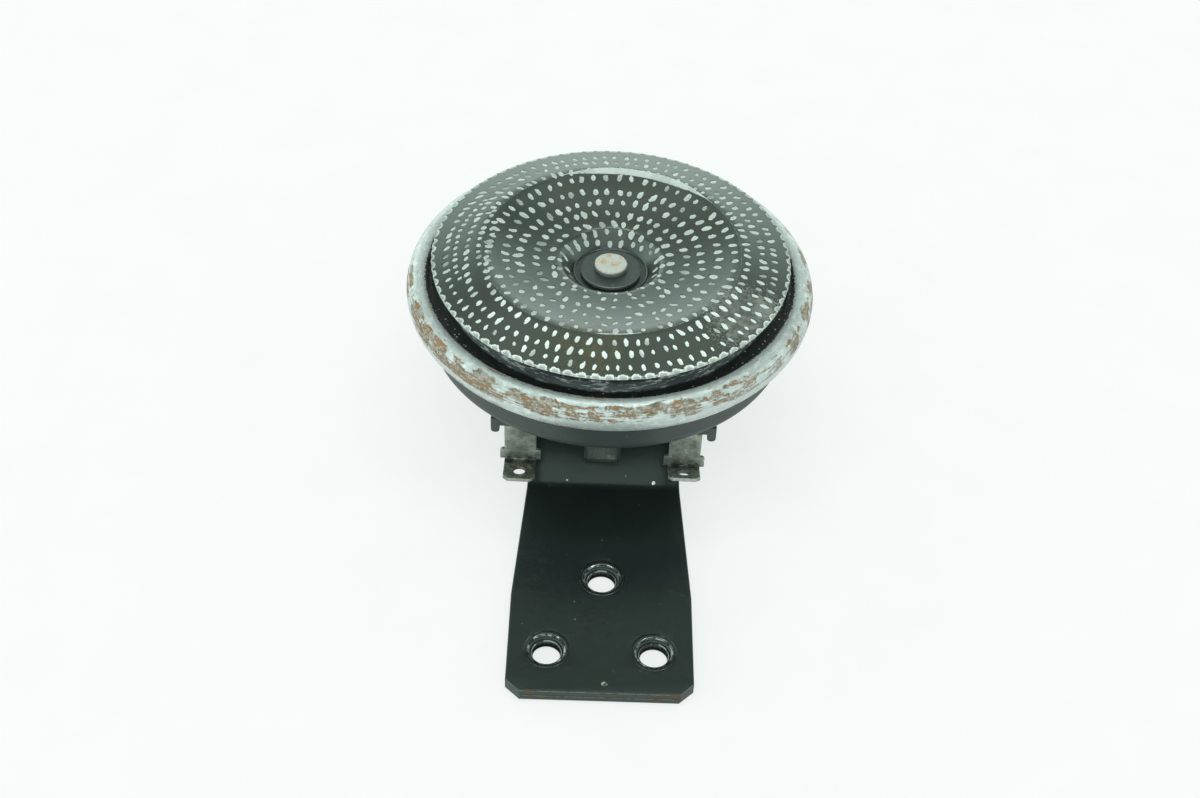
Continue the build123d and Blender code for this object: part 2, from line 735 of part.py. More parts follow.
arm_lead_points = [
    (lead_end_x + 2 * lead_end_shift, lead_end_y, wire_height),
    (arm_lead_x, lead_turn_y, wire_height),
    (arm_lead_x, lead_down_y, wire_height),
    (arm_lead_x, lead_down_y, arm_middle),
    (arm_lead_x, stack_y[0] - joint_gap, arm_middle),
]
save("coil_lead_start", horn_axis * wire(lead_start_points, wire_radius, wire_bend_radius))
save("coil_lead_end", horn_axis * wire(lead_end_points, wire_radius, wire_bend_radius))
save("breaker_lead", horn_axis * wire(arm_lead_points, wire_radius, wire_bend_radius))

resistor_y = terminal_rivet_y - resistor_radius
resistor_z = rivet_head_top + resistor_wire_radius
resistor_axis = Plane(origin=(-resistor_length / 2, resistor_y, resistor_z), z_dir=(1, 0, 0))
resistor = extrude(resistor_axis * Circle(resistor_radius), resistor_length)
resistor = fillet(resistor.edges(), resistor_edge_radius)
resistor_wires = []
for side in (-1, 1):
    start = Plane(origin=(side * resistor_length / 2, resistor_y, resistor_z), z_dir=(side, 0, 0))
    reach = terminal_x - resistor_length / 2
    resistor_wires.append(extrude(start * Circle(resistor_wire_radius), reach))
save("resistor", horn_axis * resistor)
save("resistor_wires", Compound(children=[horn_axis * one for one in resistor_wires]))
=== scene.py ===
import math
import bmesh
import bpy
from mathutils import Matrix, Vector


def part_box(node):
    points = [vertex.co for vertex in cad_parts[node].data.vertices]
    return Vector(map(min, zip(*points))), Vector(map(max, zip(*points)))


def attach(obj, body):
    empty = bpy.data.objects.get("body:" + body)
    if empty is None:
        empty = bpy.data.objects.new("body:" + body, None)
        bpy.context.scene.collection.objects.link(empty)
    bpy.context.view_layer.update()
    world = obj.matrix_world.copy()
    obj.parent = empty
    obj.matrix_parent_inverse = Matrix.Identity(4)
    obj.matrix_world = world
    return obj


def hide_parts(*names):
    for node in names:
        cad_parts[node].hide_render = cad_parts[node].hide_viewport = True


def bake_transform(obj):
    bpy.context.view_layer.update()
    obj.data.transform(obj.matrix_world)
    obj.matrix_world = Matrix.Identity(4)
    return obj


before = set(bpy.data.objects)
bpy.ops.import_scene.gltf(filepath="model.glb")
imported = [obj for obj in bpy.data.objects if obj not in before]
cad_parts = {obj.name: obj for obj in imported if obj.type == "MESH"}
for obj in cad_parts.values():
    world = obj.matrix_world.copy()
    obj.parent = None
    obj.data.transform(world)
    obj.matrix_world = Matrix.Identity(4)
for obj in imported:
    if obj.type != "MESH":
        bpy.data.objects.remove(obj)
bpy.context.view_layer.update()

MM = 0.001


# ---- Floor, light and camera ---------------------------------------------------------
# A pale floor and a room of soft light, brightest along the horizon and dim half
# way up, with one long lamp straight overhead and a dim panel in front.
class Value:
    """A socket in a finish: arithmetic adds Math nodes, and node() adds any other node."""

    def __init__(self, tree, socket):
        self.tree = tree
        self.socket = socket

    def node(self, kind, settings=None, sockets=None, output=0):
        """Adds a node of that type, with its settings and then its sockets; gives one output."""
        made = self.tree.nodes.new(kind)
        for key, setting in (settings or {}).items():
            setattr(made, key, setting)
        for key, value in (sockets or {}).items():
            if isinstance(value, Value):
                self.tree.links.new(value.socket, made.inputs[key])
            else:
                made.inputs[key].default_value = value
        return Value(self.tree, made.outputs[output])

    def maths(self, operation, *values):
        return self.node("ShaderNodeMath", {"operation": operation}, dict(enumerate(values)))

    def __add__(self, other):
        return self.maths("ADD", self, other)

    def __radd__(self, other):
        return self.maths("ADD", other, self)

    def __sub__(self, other):
        return self.maths("SUBTRACT", self, other)

    def __rsub__(self, other):
        return self.maths("SUBTRACT", other, self)

    def __mul__(self, other):
        return self.maths("MULTIPLY", self, other)

    def __rmul__(self, other):
        return self.maths("MULTIPLY", other, self)

    def __truediv__(self, other):
        return self.maths("DIVIDE", self, other)

    def between(self, low, high):
        """0 up to low, 1 from high, and a smooth step in between; low may be the larger."""
        kind = {"interpolation_type": "SMOOTHSTEP"}
        if low < high:
            return self.node("ShaderNodeMapRange", kind, {"Value": self, 1: low, 2: high})
        return 1 - self.node("ShaderNodeMapRange", kind, {"Value": self, 1: high, 2: low})

    def rise(self, low, high):
        """between(), with both limits in millimetres."""
        return self.between(low * MM, high * MM)

    def least(self, other):
        return self.maths("MINIMUM", self, other)

    def most(self, other):
        return self.maths("MAXIMUM", self, other)

    def __abs__(self):
        return self.own("ABSOLUTE")

    def own(self, operation):
        """Maths on this number alone, such as SINE or SQRT."""
        return self.maths(operation, self)

    def vector(self, operation, *values, output=0):
        """Vector Math on this vector and the values."""
        sockets = dict(enumerate((self, *values)))
        return self.node("ShaderNodeVectorMath", {"operation": operation}, sockets, output)

    def part(self, axis):
        """One coordinate of a vector: 0, 1 or 2."""
        return self.node("ShaderNodeSeparateXYZ", None, {0: self}, axis)

    def joined(self, y, z):
        """A vector from this number and two more."""
        return self.node("ShaderNodeCombineXYZ", None, {0: self, 1: y, 2: z})

    def mix(self, off, on):
        """Colour off where this mask is 0, and colour on where it is 1."""
        sides = [c if isinstance(c, Value) else (*c, 1.0) for c in (off, on)]
        sockets = {0: self, 6: sides[0], 7: sides[1]}
        return self.node("ShaderNodeMix", {"data_type": "RGBA"}, sockets, 2)

    def noise(self, scale, detail=3.0, roughness=0.55, distortion=0.0):
        sockets = {"Vector": self, "Scale": scale, "Detail": detail, "Roughness": roughness}
        sockets["Distortion"] = distortion
        return self.node("ShaderNodeTexNoise", None, sockets)

    def cells(self, scale, output=0):
        """Distance to the nearest of scattered points, or with output 1 a colour of its own."""
        return self.node("ShaderNodeTexVoronoi", None, {"Vector": self, "Scale": scale}, output)

    def bump(self, distance):
        """A normal from this height, where a height of 1 stands for distance in metres."""
        return self.node("ShaderNodeBump", None, {"Distance": distance, "Height": self})

    def into(self, shader, name):
        self.tree.links.new(self.socket, shader.inputs[name])


def layered(base, *layers):
    """A colour with layers over it, each given as its mask, its share and its colour."""
    for mask, share, colour in layers:
        base = (mask * share).mix(base, colour)
    return base


def coat(shader, colour, rough, height, bump):
    """Feeds a finish its colour, its roughness and its bumps, which are bump metres high."""
    colour.into(shader, "Base Color")
    rough.into(shader, "Roughness")
    height.bump(bump).into(shader, "Normal")


def in_scene(name, data):
    """A new object with this data, linked to the scene."""
    made = bpy.data.objects.new(name, data)
    bpy.context.scene.collection.objects.link(made)
    return made


def finish(name, **constants):
    """A new material: gives it, its shader and its Object coordinates."""
    material = bpy.data.materials.new(name)
    material.use_nodes = True
    tree = material.node_tree
    shader = tree.nodes["Principled BSDF"]
    for key, value in constants.items():
        shader.inputs[key.replace("_", " ")].default_value = value
    place = Value(tree, tree.nodes.new("ShaderNodeTexCoord").outputs["Object"])
    return material, shader, place


horn_axis_y = 53.0
horn_turn = math.radians(-1.0)
floor_half = 4.0
floor_gap = 0.00005
floor_colour = (0.95, 0.91, 0.92)
floor_glow = (0.695, 0.72, 0.71)
floor_shade = 0.25
white_sheet, shader, place = finish("floor_paint", Roughness=0.9)
rays = place.node("ShaderNodeLightPath").socket.node.outputs
kinds = ("Is Camera Ray", "Is Glossy Ray", "Is Transmission Ray")
seen = sum(Value(place.tree, rays[kind]) for kind in kinds).least(1.0)
texture = place.noise(55.0, 5.0, 0.6).between(0.3, 0.8)
seen.mix(floor_colour, tuple(c * floor_shade for c in floor_colour)).into(shader, "Base Color")
glow = texture.mix(floor_glow, tuple(c * 0.975 for c in floor_glow))
seen.mix((0.0, 0.0, 0.0), glow).into(shader, "Emission Color")
shader.inputs["Emission Strength"].default_value = 1.0

mesh = bpy.data.meshes.new("floor")
corners = [(x * floor_half, y * floor_half) for x, y in ((-1, -1), (1, -1), (1, 1), (-1, 1))]
mesh.from_pydata([(x, y, -floor_gap) for x, y in corners], [], [(0, 1, 2, 3)])
mesh.materials.append(white_sheet)
floor = in_scene("floor", mesh)

room_light = [
    (0.0, 2.0), (0.26, 1.8), (0.5, 1.35), (0.60, 0.9), (0.70, 0.22), (0.76, 0.25),
    (0.82, 0.8), (0.88, 0.75), (0.93, 0.42), (1.0, 0.5),
]
world = bpy.data.worlds.new("room")
bpy.context.scene.world = world
world.use_nodes = True
tree = world.node_tree
sky = tree.nodes["Background"]
direction = Value(tree, tree.nodes.new("ShaderNodeTexCoord").outputs["Generated"])
light = room_light[0][1]
for (low, before), (high, after) in zip(room_light, room_light[1:]):
    light = direction.part(2).between(low, high) * (after - before) + light
right_side = direction.part(0).between(0.1, 0.55) * direction.part(2).between(0.9, 0.7)
(light * (1.0 - right_side * 0.25)).into(sky, "Strength")
sky.inputs["Color"].default_value = (0.90, 1.0, 0.96, 1.0)


def lamp(name, azimuth, elevation, distance, width, depth, power):
    """A soft lamp that looks at the horn; azimuth 0 is behind it, 180 in front."""
    data = bpy.data.lights.new(name, "AREA")
    data.shape = "RECTANGLE"
    data.size = width
    data.size_y = depth
    data.energy = power
    data.color = (0.93, 1.0, 0.97)
    turn, tilt = math.radians(azimuth), math.radians(elevation)
    way = Vector((math.sin(turn) * math.cos(tilt), math.cos(turn) * math.cos(tilt), math.sin(tilt)))
    made = in_scene(name, data)
    made.location = Vector((0, horn_axis_y * MM, 0.02)) + way * distance
    made.rotation_euler = way.to_track_quat("Z", "Y").to_euler()


lamp("overhead_lamp", azimuth=0, elevation=89, distance=1.1, width=1.0, depth=0.12, power=3.2)
lamp("front_panel", azimuth=180, elevation=54, distance=1.1, width=1.0, depth=0.4, power=1.3)

lens_mm = 48.15
eye_mm = Vector((-4.447, -197.812, 240.859))
look_down = math.radians(43.9)
look_side = math.radians(-0.78)
look_roll = math.radians(2.42)
camera = in_scene("camera", bpy.data.cameras.new("camera"))
camera.data.lens = lens_mm
camera.data.sensor_width = 36.0
camera.data.clip_start = 0.01
back = Vector((
    math.sin(look_side) * math.cos(look_down),
    -math.cos(look_side) * math.cos(look_down),
    math.sin(look_down),
))
level = Vector((math.cos(look_side), math.sin(look_side), 0))
upright = back.cross(level)
right = math.cos(look_roll) * level + math.sin(look_roll) * upright
up = back.cross(right)
turned = Matrix((right, up, back)).transposed()
camera.matrix_world = Matrix.Translation(eye_mm * MM) @ turned.to_4x4()
bpy.context.scene.camera = camera
bpy.context.scene.view_settings.view_transform = "Standard"


# ---- Bracket leaves ------------------------------------------------------------------
# Two stamped steel leaves lie on each other and share one joggle. They are dipped
# in black paint together. The edges are rounded a little by the stamping.
leaf = 1.4
joggle_start_y = 24.0
joggle_rise = 7.3
joggle_slope = math.radians(40)
joggle_radius = 4.0
leaf_edge = 0.26
end_y = -26.55
end_half = 17.15
root_half = 13.6
corner_x = 2.65
corner_y = 2.5
taper_y = -4.2
thread_radius = 2.7
entry_radius = 1.3
collar_radius = 3.5
collar_gap = 0.1
stud_hole_radius = 4.15
hole_places = [(0.0, 0.0), (-9.9, -17.2), (9.9, -17.2)]
bend_step = 0.4
same_point = 1e-4
on_the_cut = 1e-5


def joggle_height(y, lift):
    """Height of a leaf's face at y, lift above the joint between the two leaves."""
    shift = math.tan(joggle_slope / 2)
    low = leaf + lift
    high = low + joggle_rise
    first = joggle_start_y + (leaf - lift) * shift
    second = first + joggle_rise / math.tan(joggle_slope)
    inner = joggle_radius - lift
    outer = joggle_radius + lift
    start = first - inner * shift
    stop = second + outer * shift
    if y <= start:
        return low
    if y < start + inner * math.sin(joggle_slope):
        return low + inner - math.sqrt(inner**2 - (y - start) ** 2)
    if y < stop - outer * math.sin(joggle_slope):
        return low + (y - first) * math.tan(joggle_slope)
    if y < stop:
        return high - outer + math.sqrt(outer**2 - (stop - y) ** 2)
    return high


def circle(x, y, radius, steps):
    return [
        (x + radius * math.cos(math.tau * i / steps), y + radius * math.sin(math.tau * i / steps))
        for i in range(steps)
    ]


def plain_mesh(maker):
    """The finished mesh of an object, which is then removed."""
    bpy.context.view_layer.update()
    graph = bpy.context.evaluated_depsgraph_get()
    mesh = bpy.data.meshes.new_from_object(maker.evaluated_get(graph))
    bpy.data.objects.remove(maker)
    return mesh


def flat_sheet(name, loops, thickness, edge):
    """Sheet with rounded edges, from a plan of closed loops: outline first, then holes."""
    plan = bpy.data.curves.new(name, "CURVE")
    plan.dimensions = "2D"
    plan.fill_mode = "BOTH"
    plan.extrude = thickness / 2 - edge
    plan.bevel_depth = edge
    plan.bevel_resolution = 2
    plan.offset = -edge
    for loop in loops:
        spline = plan.splines.new("POLY")
        spline.points.add(len(loop) - 1)
        spline.use_cyclic_u = True
        for point, (x, y) in zip(spline.points, loop):
            point.co = (x, y, 0, 1)
    sheet = bmesh.new()
    sheet.from_mesh(plain_mesh(in_scene(name, plan)))
    bmesh.ops.remove_doubles(sheet, verts=sheet.verts, dist=same_point)
    return sheet


def cut_across(sheet, axis, places):
    """Cuts the sheet's faces at each place along one axis, so that it can bend there."""
    normal = Vector([float(i == axis) for i in range(3)])
    for at in places:
        parts = sheet.verts[:] + sheet.edges[:] + sheet.faces[:]
        bmesh.ops.bisect_plane(
            sheet, geom=parts, dist=on_the_cut, plane_co=normal * at, plane_no=normal
        )


def settle(name, mesh, body, node, sharp):
    """Makes a mesh in metres a piece on its body, in place of its CAD node."""
    mesh.shade_smooth()
    mesh.set_sharp_from_angle(angle=math.radians(sharp))
    piece = in_scene(name, mesh)
    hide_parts(node)
    if body:
        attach(piece, body)
    return piece


def place_piece(name, shape, material, body, node, sharp=32):
    """Turns a bmesh in millimetres into a finished piece."""
    bmesh.ops.recalc_face_normals(shape, faces=shape.faces)
    bmesh.ops.scale(shape, vec=(MM, MM, MM), verts=shape.verts)
    mesh = bpy.data.meshes.new(name)
    shape.to_mesh(mesh)
    shape.free()
    mesh.materials.append(material)
    return settle(name, mesh, body, node, sharp)


def leaf_plan(hole_radius):
    """Outline of a leaf, and its holes."""
    outline = [
        (corner_x - end_half, end_y),
        (end_half - corner_x, end_y),
        (end_half, end_y + corner_y),
        (end_half, taper_y),
        (root_half, horn_axis_y),
    ]
    turns = [math.pi * i / 32 for i in range(1, 32)]
    outline += [(root_half * math.cos(a), horn_axis_y + root_half * math.sin(a)) for a in turns]
    outline += [(-root_half, horn_axis_y), (-end_half, taper_y), (-end_half, end_y + corner_y)]
    holes = [circle(x, y, hole_radius, 64) for x, y in hole_places]
    return [outline, *holes, circle(0, horn_axis_y, stud_hole_radius, 48)]


def bracket_leaf(name, low, high, hole_radius):
    """A leaf whose faces lie low and high above the joint."""
    sheet = flat_sheet(name, leaf_plan(hole_radius), high - low, leaf_edge)
    bends = [joggle_start_y - 3 + i * bend_step for i in range(48)]
    cut_across(sheet, 1, [end_y + 3 * i for i in range(1, 16)] + bends)
    cut_across(sheet, 0, [-12, -8, -4, 0, 4, 8, 12])
    for point in sheet.verts:
        share = point.co.z / (high - low) + 0.5
        bottom = joggle_height(point.co.y, low)
        top = joggle_height(point.co.y, high)
        point.co.z = bottom + share * (top - bottom)
    return sheet


def mark(place, x, y, z, radius, ragged):
    """Mask of a small ragged spot on a surface, in millimetres."""
    off = place.vector("SUBTRACT", (x * MM, y * MM, z * MM))
    reach = off.vector("LENGTH", output=1)
    frayed = reach / (radius * MM) + (place.noise(2200.0) - 0.5) * ragged * 2
    return frayed.between(1.1, 0.9)


def marks(place, *spots):
    """Several marks in one mask, each given as x, y, z, radius, raggedness and weight."""
    return sum(mark(place, *spot) * weight for *spot, weight in spots)


def dots(place, scale, outer, inner, part, many, few):
    """Scattered round dots: cells per metre, two sizes to fade between, and how rare they are."""
    size = place.cells(scale).between(outer, inner)
    return size * place.cells(scale, 1).part(part).between(many, few)


def from_axis(place, x, y):
    """Distance from an upright axis at x and y in millimetres, and the flat vector from it."""
    off = place.vector("SUBTRACT", (x * MM, y * MM, 0.0))
    flat = off.vector("MULTIPLY", (1.0, 1.0, 0.0))
    return flat.vector("LENGTH", output=1), flat


def facing(place):
    """Height part of the surface's direction: 1 on a level face, 0 on an upright one."""
    return place.node("ShaderNodeNewGeometry", None, None, 1).part(2)


def height_band(place, low, high, soft=0.15):
    """1 between two heights in millimetres, fading out over a soft edge at each."""
    return place.part(2).rise(low - soft, low) * place.part(2).rise(high + soft, high)


dark_tint = (0.8, 1.0, 0.94, 1.0)
black_paint, shader, place = finish("black_bracket_paint", IOR=1.5, Specular_Tint=dark_tint)
from_hole = None
for x, y in hole_places:
    reach, flat = from_axis(place, x, y)
    from_hole = reach if from_hole is None else from_hole.least(reach)
funnel_zone = from_hole.rise(4.7, 4.0)
hole_lip = from_hole.rise(3.6, 3.8) * from_hole.rise(4.3, 4.0)
rubbed = from_hole.rise(3.2, 3.3) * from_hole.rise(3.65, 3.5)
rubbed = rubbed + from_hole.rise(3.0, 2.85) * height_band(place, 1.6, 1.85)
rubbed = rubbed * place.noise(800.0, 3.0, 0.6).between(0.45, 0.56)
cloud = place.noise(60.0, 4.0, 0.6)
dust = place.noise(900.0, 4.0, 0.7).between(0.6, 0.8) * place.noise(110.0).between(0.42, 0.7)
specks = dots(place, 420.0, 0.085, 0.05, 0, 0.83, 0.86)
wet = place.noise(420.0, 5.0, 0.7).between(0.5, 0.62)
face = 2 * leaf
smudge = wet * marks(
    place, (-15.5, 2.0, face, 7.0, 0.9, 1.0), (0.0, -11.3, face, 3.2, 1.2, 1.0),
    (-13.0, -9.0, face, 3.0, 1.2, 0.7),
)
# The upright edge faces of the flat part are painted lighter than the top faces: painted light on
# the faces that catch it.
side = facing(place).between(0.75, 0.45)
flat_part = place.part(1).rise(20.0, 16.0)
# Thin painted highlight lines along the top edge of each leaf on the flat part, broken up by noise.
highlight_breakup = place.noise(800.0, 4.0, 0.65).between(0.36, 0.55)
edge_highlight_line = place.part(2).rise(2.42, 2.6)
edge_highlight_line = edge_highlight_line + place.part(2).rise(1.05, 1.2) * place.part(2).rise(1.38, 1.3)
edge_highlight_line = edge_highlight_line * side * flat_part * highlight_breakup * (1 - funnel_zone)
edge_rust = place.noise(520.0, 4.0, 0.65).between(0.47, 0.58)
edge_rust = edge_rust * place.part(1).rise(end_y + 0.35, end_y + 0.1)
ends = abs(place.part(0)).rise(8.0, 12.0)
edge_rust = edge_rust * (0.2 + 0.8 * ends) * 0.8
chips = mark(place, 0.8, -24.6, face, 0.5, 1.4) * place.noise(1500.0).between(0.4, 0.5)
white_specks = marks(place, (10.1, 24.8, 3.45, 0.36, 0.5, 1.0), (-7.4, 24.85, 3.5, 0.2, 0.5, 0.5))
paint = layered(
    cloud.mix((0.0085, 0.0125, 0.0118), (0.014, 0.020, 0.019)),
    (dust, 0.3, (0.13, 0.16, 0.15)),
    (specks, 0.5, (0.3, 0.35, 0.32)),
    (smudge, 0.6, (0.004, 0.005, 0.005)),
    (side * flat_part * (1 - funnel_zone), 0.5, (0.035, 0.042, 0.038)),
    (edge_highlight_line, 0.6, (0.16, 0.20, 0.185)),
    (edge_rust, 1.0, (0.085, 0.05, 0.028)),
    (chips, 0.85, (0.33, 0.40, 0.32)),
    (rubbed, 0.9, (0.36, 0.41, 0.39)),
    (white_specks, 1.0, (0.85, 0.92, 0.88)),
)
(rubbed * 0.9).into(shader, "Metallic")
rough = 0.27 + cloud * 0.1 + dust * 0.3 + edge_rust * 0.4 + smudge * 0.15 + side * 0.15
lumps = place.noise(700.0, 2.0) * 0.5 + place.noise(130.0, 2.0) * 3.5
skin = lumps - chips * 0.5 + hole_lip * (1.6 + place.noise(500.0, 2.0) * 2.4)
coat(shader, paint, rough * (1.0 - funnel_zone * 0.65), skin, 0.00004)

lower_leaf = bracket_leaf("bracket_lower_leaf", -leaf, 0, collar_radius + collar_gap)
place_piece("bracket_lower_leaf", lower_leaf, black_paint, "horn", "bracket_lower")


# ---- Threaded collars ----------------------------------------------------------------
# The upper leaf is drawn down through the lower one at each hole, with a soft
# funnel at the top, and an M6 thread is rolled into the collar.
thread_pitch = 1.0
thread_depth = 0.32
collar_steps = 96
collar_edge = 0.1
funnel_radius = thread_radius + entry_radius
pole_gap = 5e-4


def spun(rows, steps, x=0.0, y=horn_axis_y, closed=True):
    """Grid of points turned about an upright axis: rows of (radius, height) or (angle) -> both."""
    shape = bmesh.new()
    rings = []
    for row in rows:
        ring = []
        for i in range(steps):
            angle = math.tau * i / steps
            radius, height = row(angle) if callable(row) else row
            point = (x + radius * math.cos(angle), y + radius * math.sin(angle), height)
            ring.append(shape.verts.new(point))
        rings.append(ring)
    pairs = list(zip(rings, rings[1:])) + ([(rings[-1], rings[0])] if closed else [])
    for one, two in pairs:
        for i in range(steps):
            j = (i + 1) % steps
            shape.faces.new((one[i], one[j], two[j], two[i]))
    bmesh.ops.remove_doubles(shape, verts=shape.verts, dist=pole_gap)
    return shape


def thread_row(height):
    """Radius of the rolled thread at a height, for each angle."""

    def at(angle):
        turn = (height / thread_pitch - angle / math.tau) % 1.0
        flank = 1 - abs(2 * turn - 1)
        fade = min(1.0, max(0.0, (2 * leaf - entry_radius + 0.35 - height) / 0.5))
        fade *= min(1.0, (height + 0.02) / 0.25)
        return thread_radius + thread_depth * (flank - 0.55) * fade, height

    return at


def collar(x, y):
    """Funnel, thread and outer wall of one collar."""
    top = 2 * leaf
    funnel = []
    for i in range(11):
        turn = math.pi / 2 * i / 10
        reach = entry_radius * (1 - math.sin(turn))
        funnel.append((thread_radius + reach, top - entry_radius * (1 - math.cos(turn))))
    wall_top = top - entry_radius
    thread = [thread_row(wall_top * (1 - i / 30)) for i in range(1, 31)]
    wall = [(collar_radius - collar_edge, 0.0), (collar_radius, collar_edge)]
    wall += [(collar_radius, leaf), (funnel_radius, leaf)]
    return spun([*funnel, *thread, *wall], collar_steps, x, y)


upper_leaf = bracket_leaf("bracket_upper_leaf", 0, leaf, funnel_radius - leaf_edge * 0.8)
for x, y in hole_places:
    ring = collar(x, y)
    joined = bpy.data.meshes.new("collar")
    ring.to_mesh(joined)
    ring.free()
    upper_leaf.from_mesh(joined)
place_piece(
    "bracket_upper_leaf", upper_leaf, black_paint, "horn", "bracket_upper", sharp=40
)


# ---- Stud, nut and spring washer -----------------------------------------------------
# Turned iron core with an M8 stud, a thin nut and a split washer, all zinc-plated.
# They hold the bracket against the bottom of the cup.
flat_angle = math.radians(1.0)
corner_angle = math.radians(40.0)


def merged(node, bevel=0.0):
    """Copy of a CAD node with its points merged, in millimetres, and its edges broken."""
    shape = bmesh.new()
    shape.from_mesh(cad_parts[node].data)
    bmesh.ops.scale(shape, vec=(1 / MM, 1 / MM, 1 / MM), verts=shape.verts)
    bmesh.ops.remove_doubles(shape, verts=shape.verts, dist=same_point)
    if bevel:
        parts = {"verts": shape.verts, "edges": shape.edges}
        bmesh.ops.dissolve_limit(shape, angle_limit=flat_angle, **parts)
        inner = [edge for edge in shape.edges if len(edge.link_faces) == 2]
        bmesh.ops.bevel(
            shape, geom=[edge for edge in inner if edge.calc_face_angle() > corner_angle],
            offset=bevel, segments=2, profile=0.5, affect="EDGES", clamp_overlap=True,
        )
    return shape


def carry_over(node, material, body="horn", bevel=0.0):
    """A CAD node's own shape, smoothed and finished."""
    return place_piece(f"{node}_finished", merged(node, bevel), material, body, node)


zinc_steel, shader, place = finish("zinc_plated_fasteners", Metallic=0.85)
mottle = place.noise(420.0, 4.0, 0.65)
stain = place.noise(240.0, 5.0, 0.7).between(0.56, 0.7)
tone = mottle.mix((0.36, 0.38, 0.37), (0.62, 0.65, 0.63))
tone = layered(tone, (stain, 0.7, (0.2, 0.1, 0.045)))
coat(shader, tone, 0.33 + mottle * 0.2 + stain * 0.3, mottle + place.noise(2600.0) * 0.5, 0.00002)

stud_radius = 4.0
stud_pitch = 1.25
stud_thread_depth = 0.6
stud_lead = 0.7
stud_tip_radius = 2.7
core_chamfer = 0.3


def stud_thread_row(height):
    """Radius of the M8 thread at a height, for each angle."""

    def at(angle):
        turn = (height / stud_pitch - angle / math.tau) % 1.0
        groove = abs(2 * turn - 1)
        lead_in = min(1.0, height / stud_lead) * stud_lead
        return stud_radius - stud_lead + lead_in - stud_thread_depth * groove, height

    return at


core_low, core_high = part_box("core_stud")
core_radius = (core_high.x - core_low.x) / 2 / MM
core_top = core_high.z / MM
cup_floor = 11.1
pole = 0.0001
stud = [(pole, 0.0), (stud_tip_radius, 0.0)]
stud += [stud_thread_row(0.1 * i) for i in range(int(cup_floor * 10))]
core = [(core_radius, cup_floor), (core_radius, core_top - core_chamfer)]
core += [(core_radius - core_chamfer, core_top), (pole, core_top)]
core_stud = spun(stud + core, steps=96, closed=False)
place_piece("core_and_stud", core_stud, zinc_steel, "horn", "core_stud", sharp=50)
carry_over("stud_nut", zinc_steel, bevel=0.12)
carry_over("spring_washer", zinc_steel, bevel=0.15)


# ---- Housing -------------------------------------------------------------------------
# Deep-drawn steel cup in two steps with a crimped flange, in satin slate paint.
# Turned as one sheet; the holes are its rivets', the bosses' and the screw's.
slate_paint, shader, place = finish("slate_housing_paint", IOR=1.5, Specular_Tint=dark_tint)
cloud = place.noise(85.0, 4.0, 0.6)
dust = place.noise(1500.0, 3.0, 0.7).between(0.6, 0.75) * place.noise(160.0).between(0.4, 0.65)
specks = dots(place, 520.0, 0.085, 0.05, 0, 0.86, 0.9)
scuffs = place.vector("MULTIPLY", (1.0, 1.0, 5.0)).noise(330.0, 4.0, 0.7).between(0.6, 0.78)
paint = layered(
    cloud.mix((0.026, 0.034, 0.033), (0.042, 0.052, 0.05)),
    (scuffs, 0.3, (0.11, 0.125, 0.12)),
    (dust, 0.3, (0.3, 0.33, 0.31)),
    (specks, 0.6, (0.5, 0.53, 0.5)),
)
skin = place.noise(1100.0, 2.0) * 0.6 + place.noise(180.0, 2.0)
coat(shader, paint, 0.4 + cloud * 0.12 + dust * 0.25, skin, 0.00003)
carry_over("housing", slate_paint)


# ---- Coil, pole plate and their rivets -----------------------------------------------
# Moulded bobbin with enamelled copper wire in fine layers, closed by a thick
# plated steel plate that four rivets hold to the shoulder.
black_plastic, shader, place = finish("dark_moulded_plastic", IOR=1.46)
grain = place.noise(2400.0, 3.0, 0.7)
wipe = place.noise(260.0, 4.0, 0.6)
dust = grain.between(0.55, 0.75) * wipe.between(0.45, 0.7)
key_across = abs(place.part(0) + 0.5 * MM)
key_zone = height_band(place, 9.4, 14.0) * place.part(1).rise(25.0, 24.8)
key_zone = key_zone * key_across.rise(3.6, 3.4)
# A dark frame along the key's sides and lower edge: a painted shadow outline round the raised key.
key_shadow_outline = key_across.rise(2.85, 3.1) + place.part(2).rise(10.5, 10.2)
key_scuff = marks(place, (1.4, 24.4, 10.9, 0.8, 1.2, 1.0), (-0.8, 24.4, 11.6, 1.7, 1.6, 0.4))
tone = layered(
    wipe.mix((0.036, 0.050, 0.045), (0.062, 0.078, 0.070)),
    (key_zone * wipe.between(0.4, 0.6), 0.2, (0.10, 0.105, 0.085)),
    (key_zone * key_scuff, 0.5, (0.17, 0.18, 0.15)),
    (key_zone * key_shadow_outline, 0.75, (0.016, 0.02, 0.018)),
    (dust, 0.35, (0.3, 0.32, 0.3)),
)
coat(shader, tone, 0.5 + wipe * 0.2, grain, 0.00003)

enamelled_wire, shader, place = finish("enamelled_copper", Metallic=0.8)
wire_diameter = 0.45
layers = place.part(2) * (math.tau / (wire_diameter * MM))
ridge = layers.own("SINE")
tone = place.noise(900.0).mix((0.42, 0.14, 0.05), (0.62, 0.26, 0.1))
# The grooves between wire turns are painted darker: painted shade in the troughs.
tone = layered(tone, (ridge.between(-0.2, -1.0), 0.7, (0.12, 0.03, 0.012)))
coat(shader, tone, 0.3 + place.noise(600.0) * 0.15, ridge, 0.00012)

carry_over("coil_bobbin", black_plastic)
carry_over("coil_winding", enamelled_wire)
for node in ("pole_plate", "pole_plate_rivets"):
    carry_over(node, zinc_steel)


# ---- Contact breaker -----------------------------------------------------------------
# Leaf spring and fixed arm between two brown board insulators on one rivet, with
# hard contact buttons. The slotted screw at the back sets the arm and is sealed.
phenolic_board, shader, place = finish("phenolic_board")
fibre = place.vector("MULTIPLY", (1.0, 1.0, 8.0)).noise(700.0, 4.0, 0.6)
tone = fibre.mix((0.13, 0.055, 0.022), (0.3, 0.15, 0.065))
coat(shader, tone, 0.5 + fibre * 0.2, fibre, 0.00004)

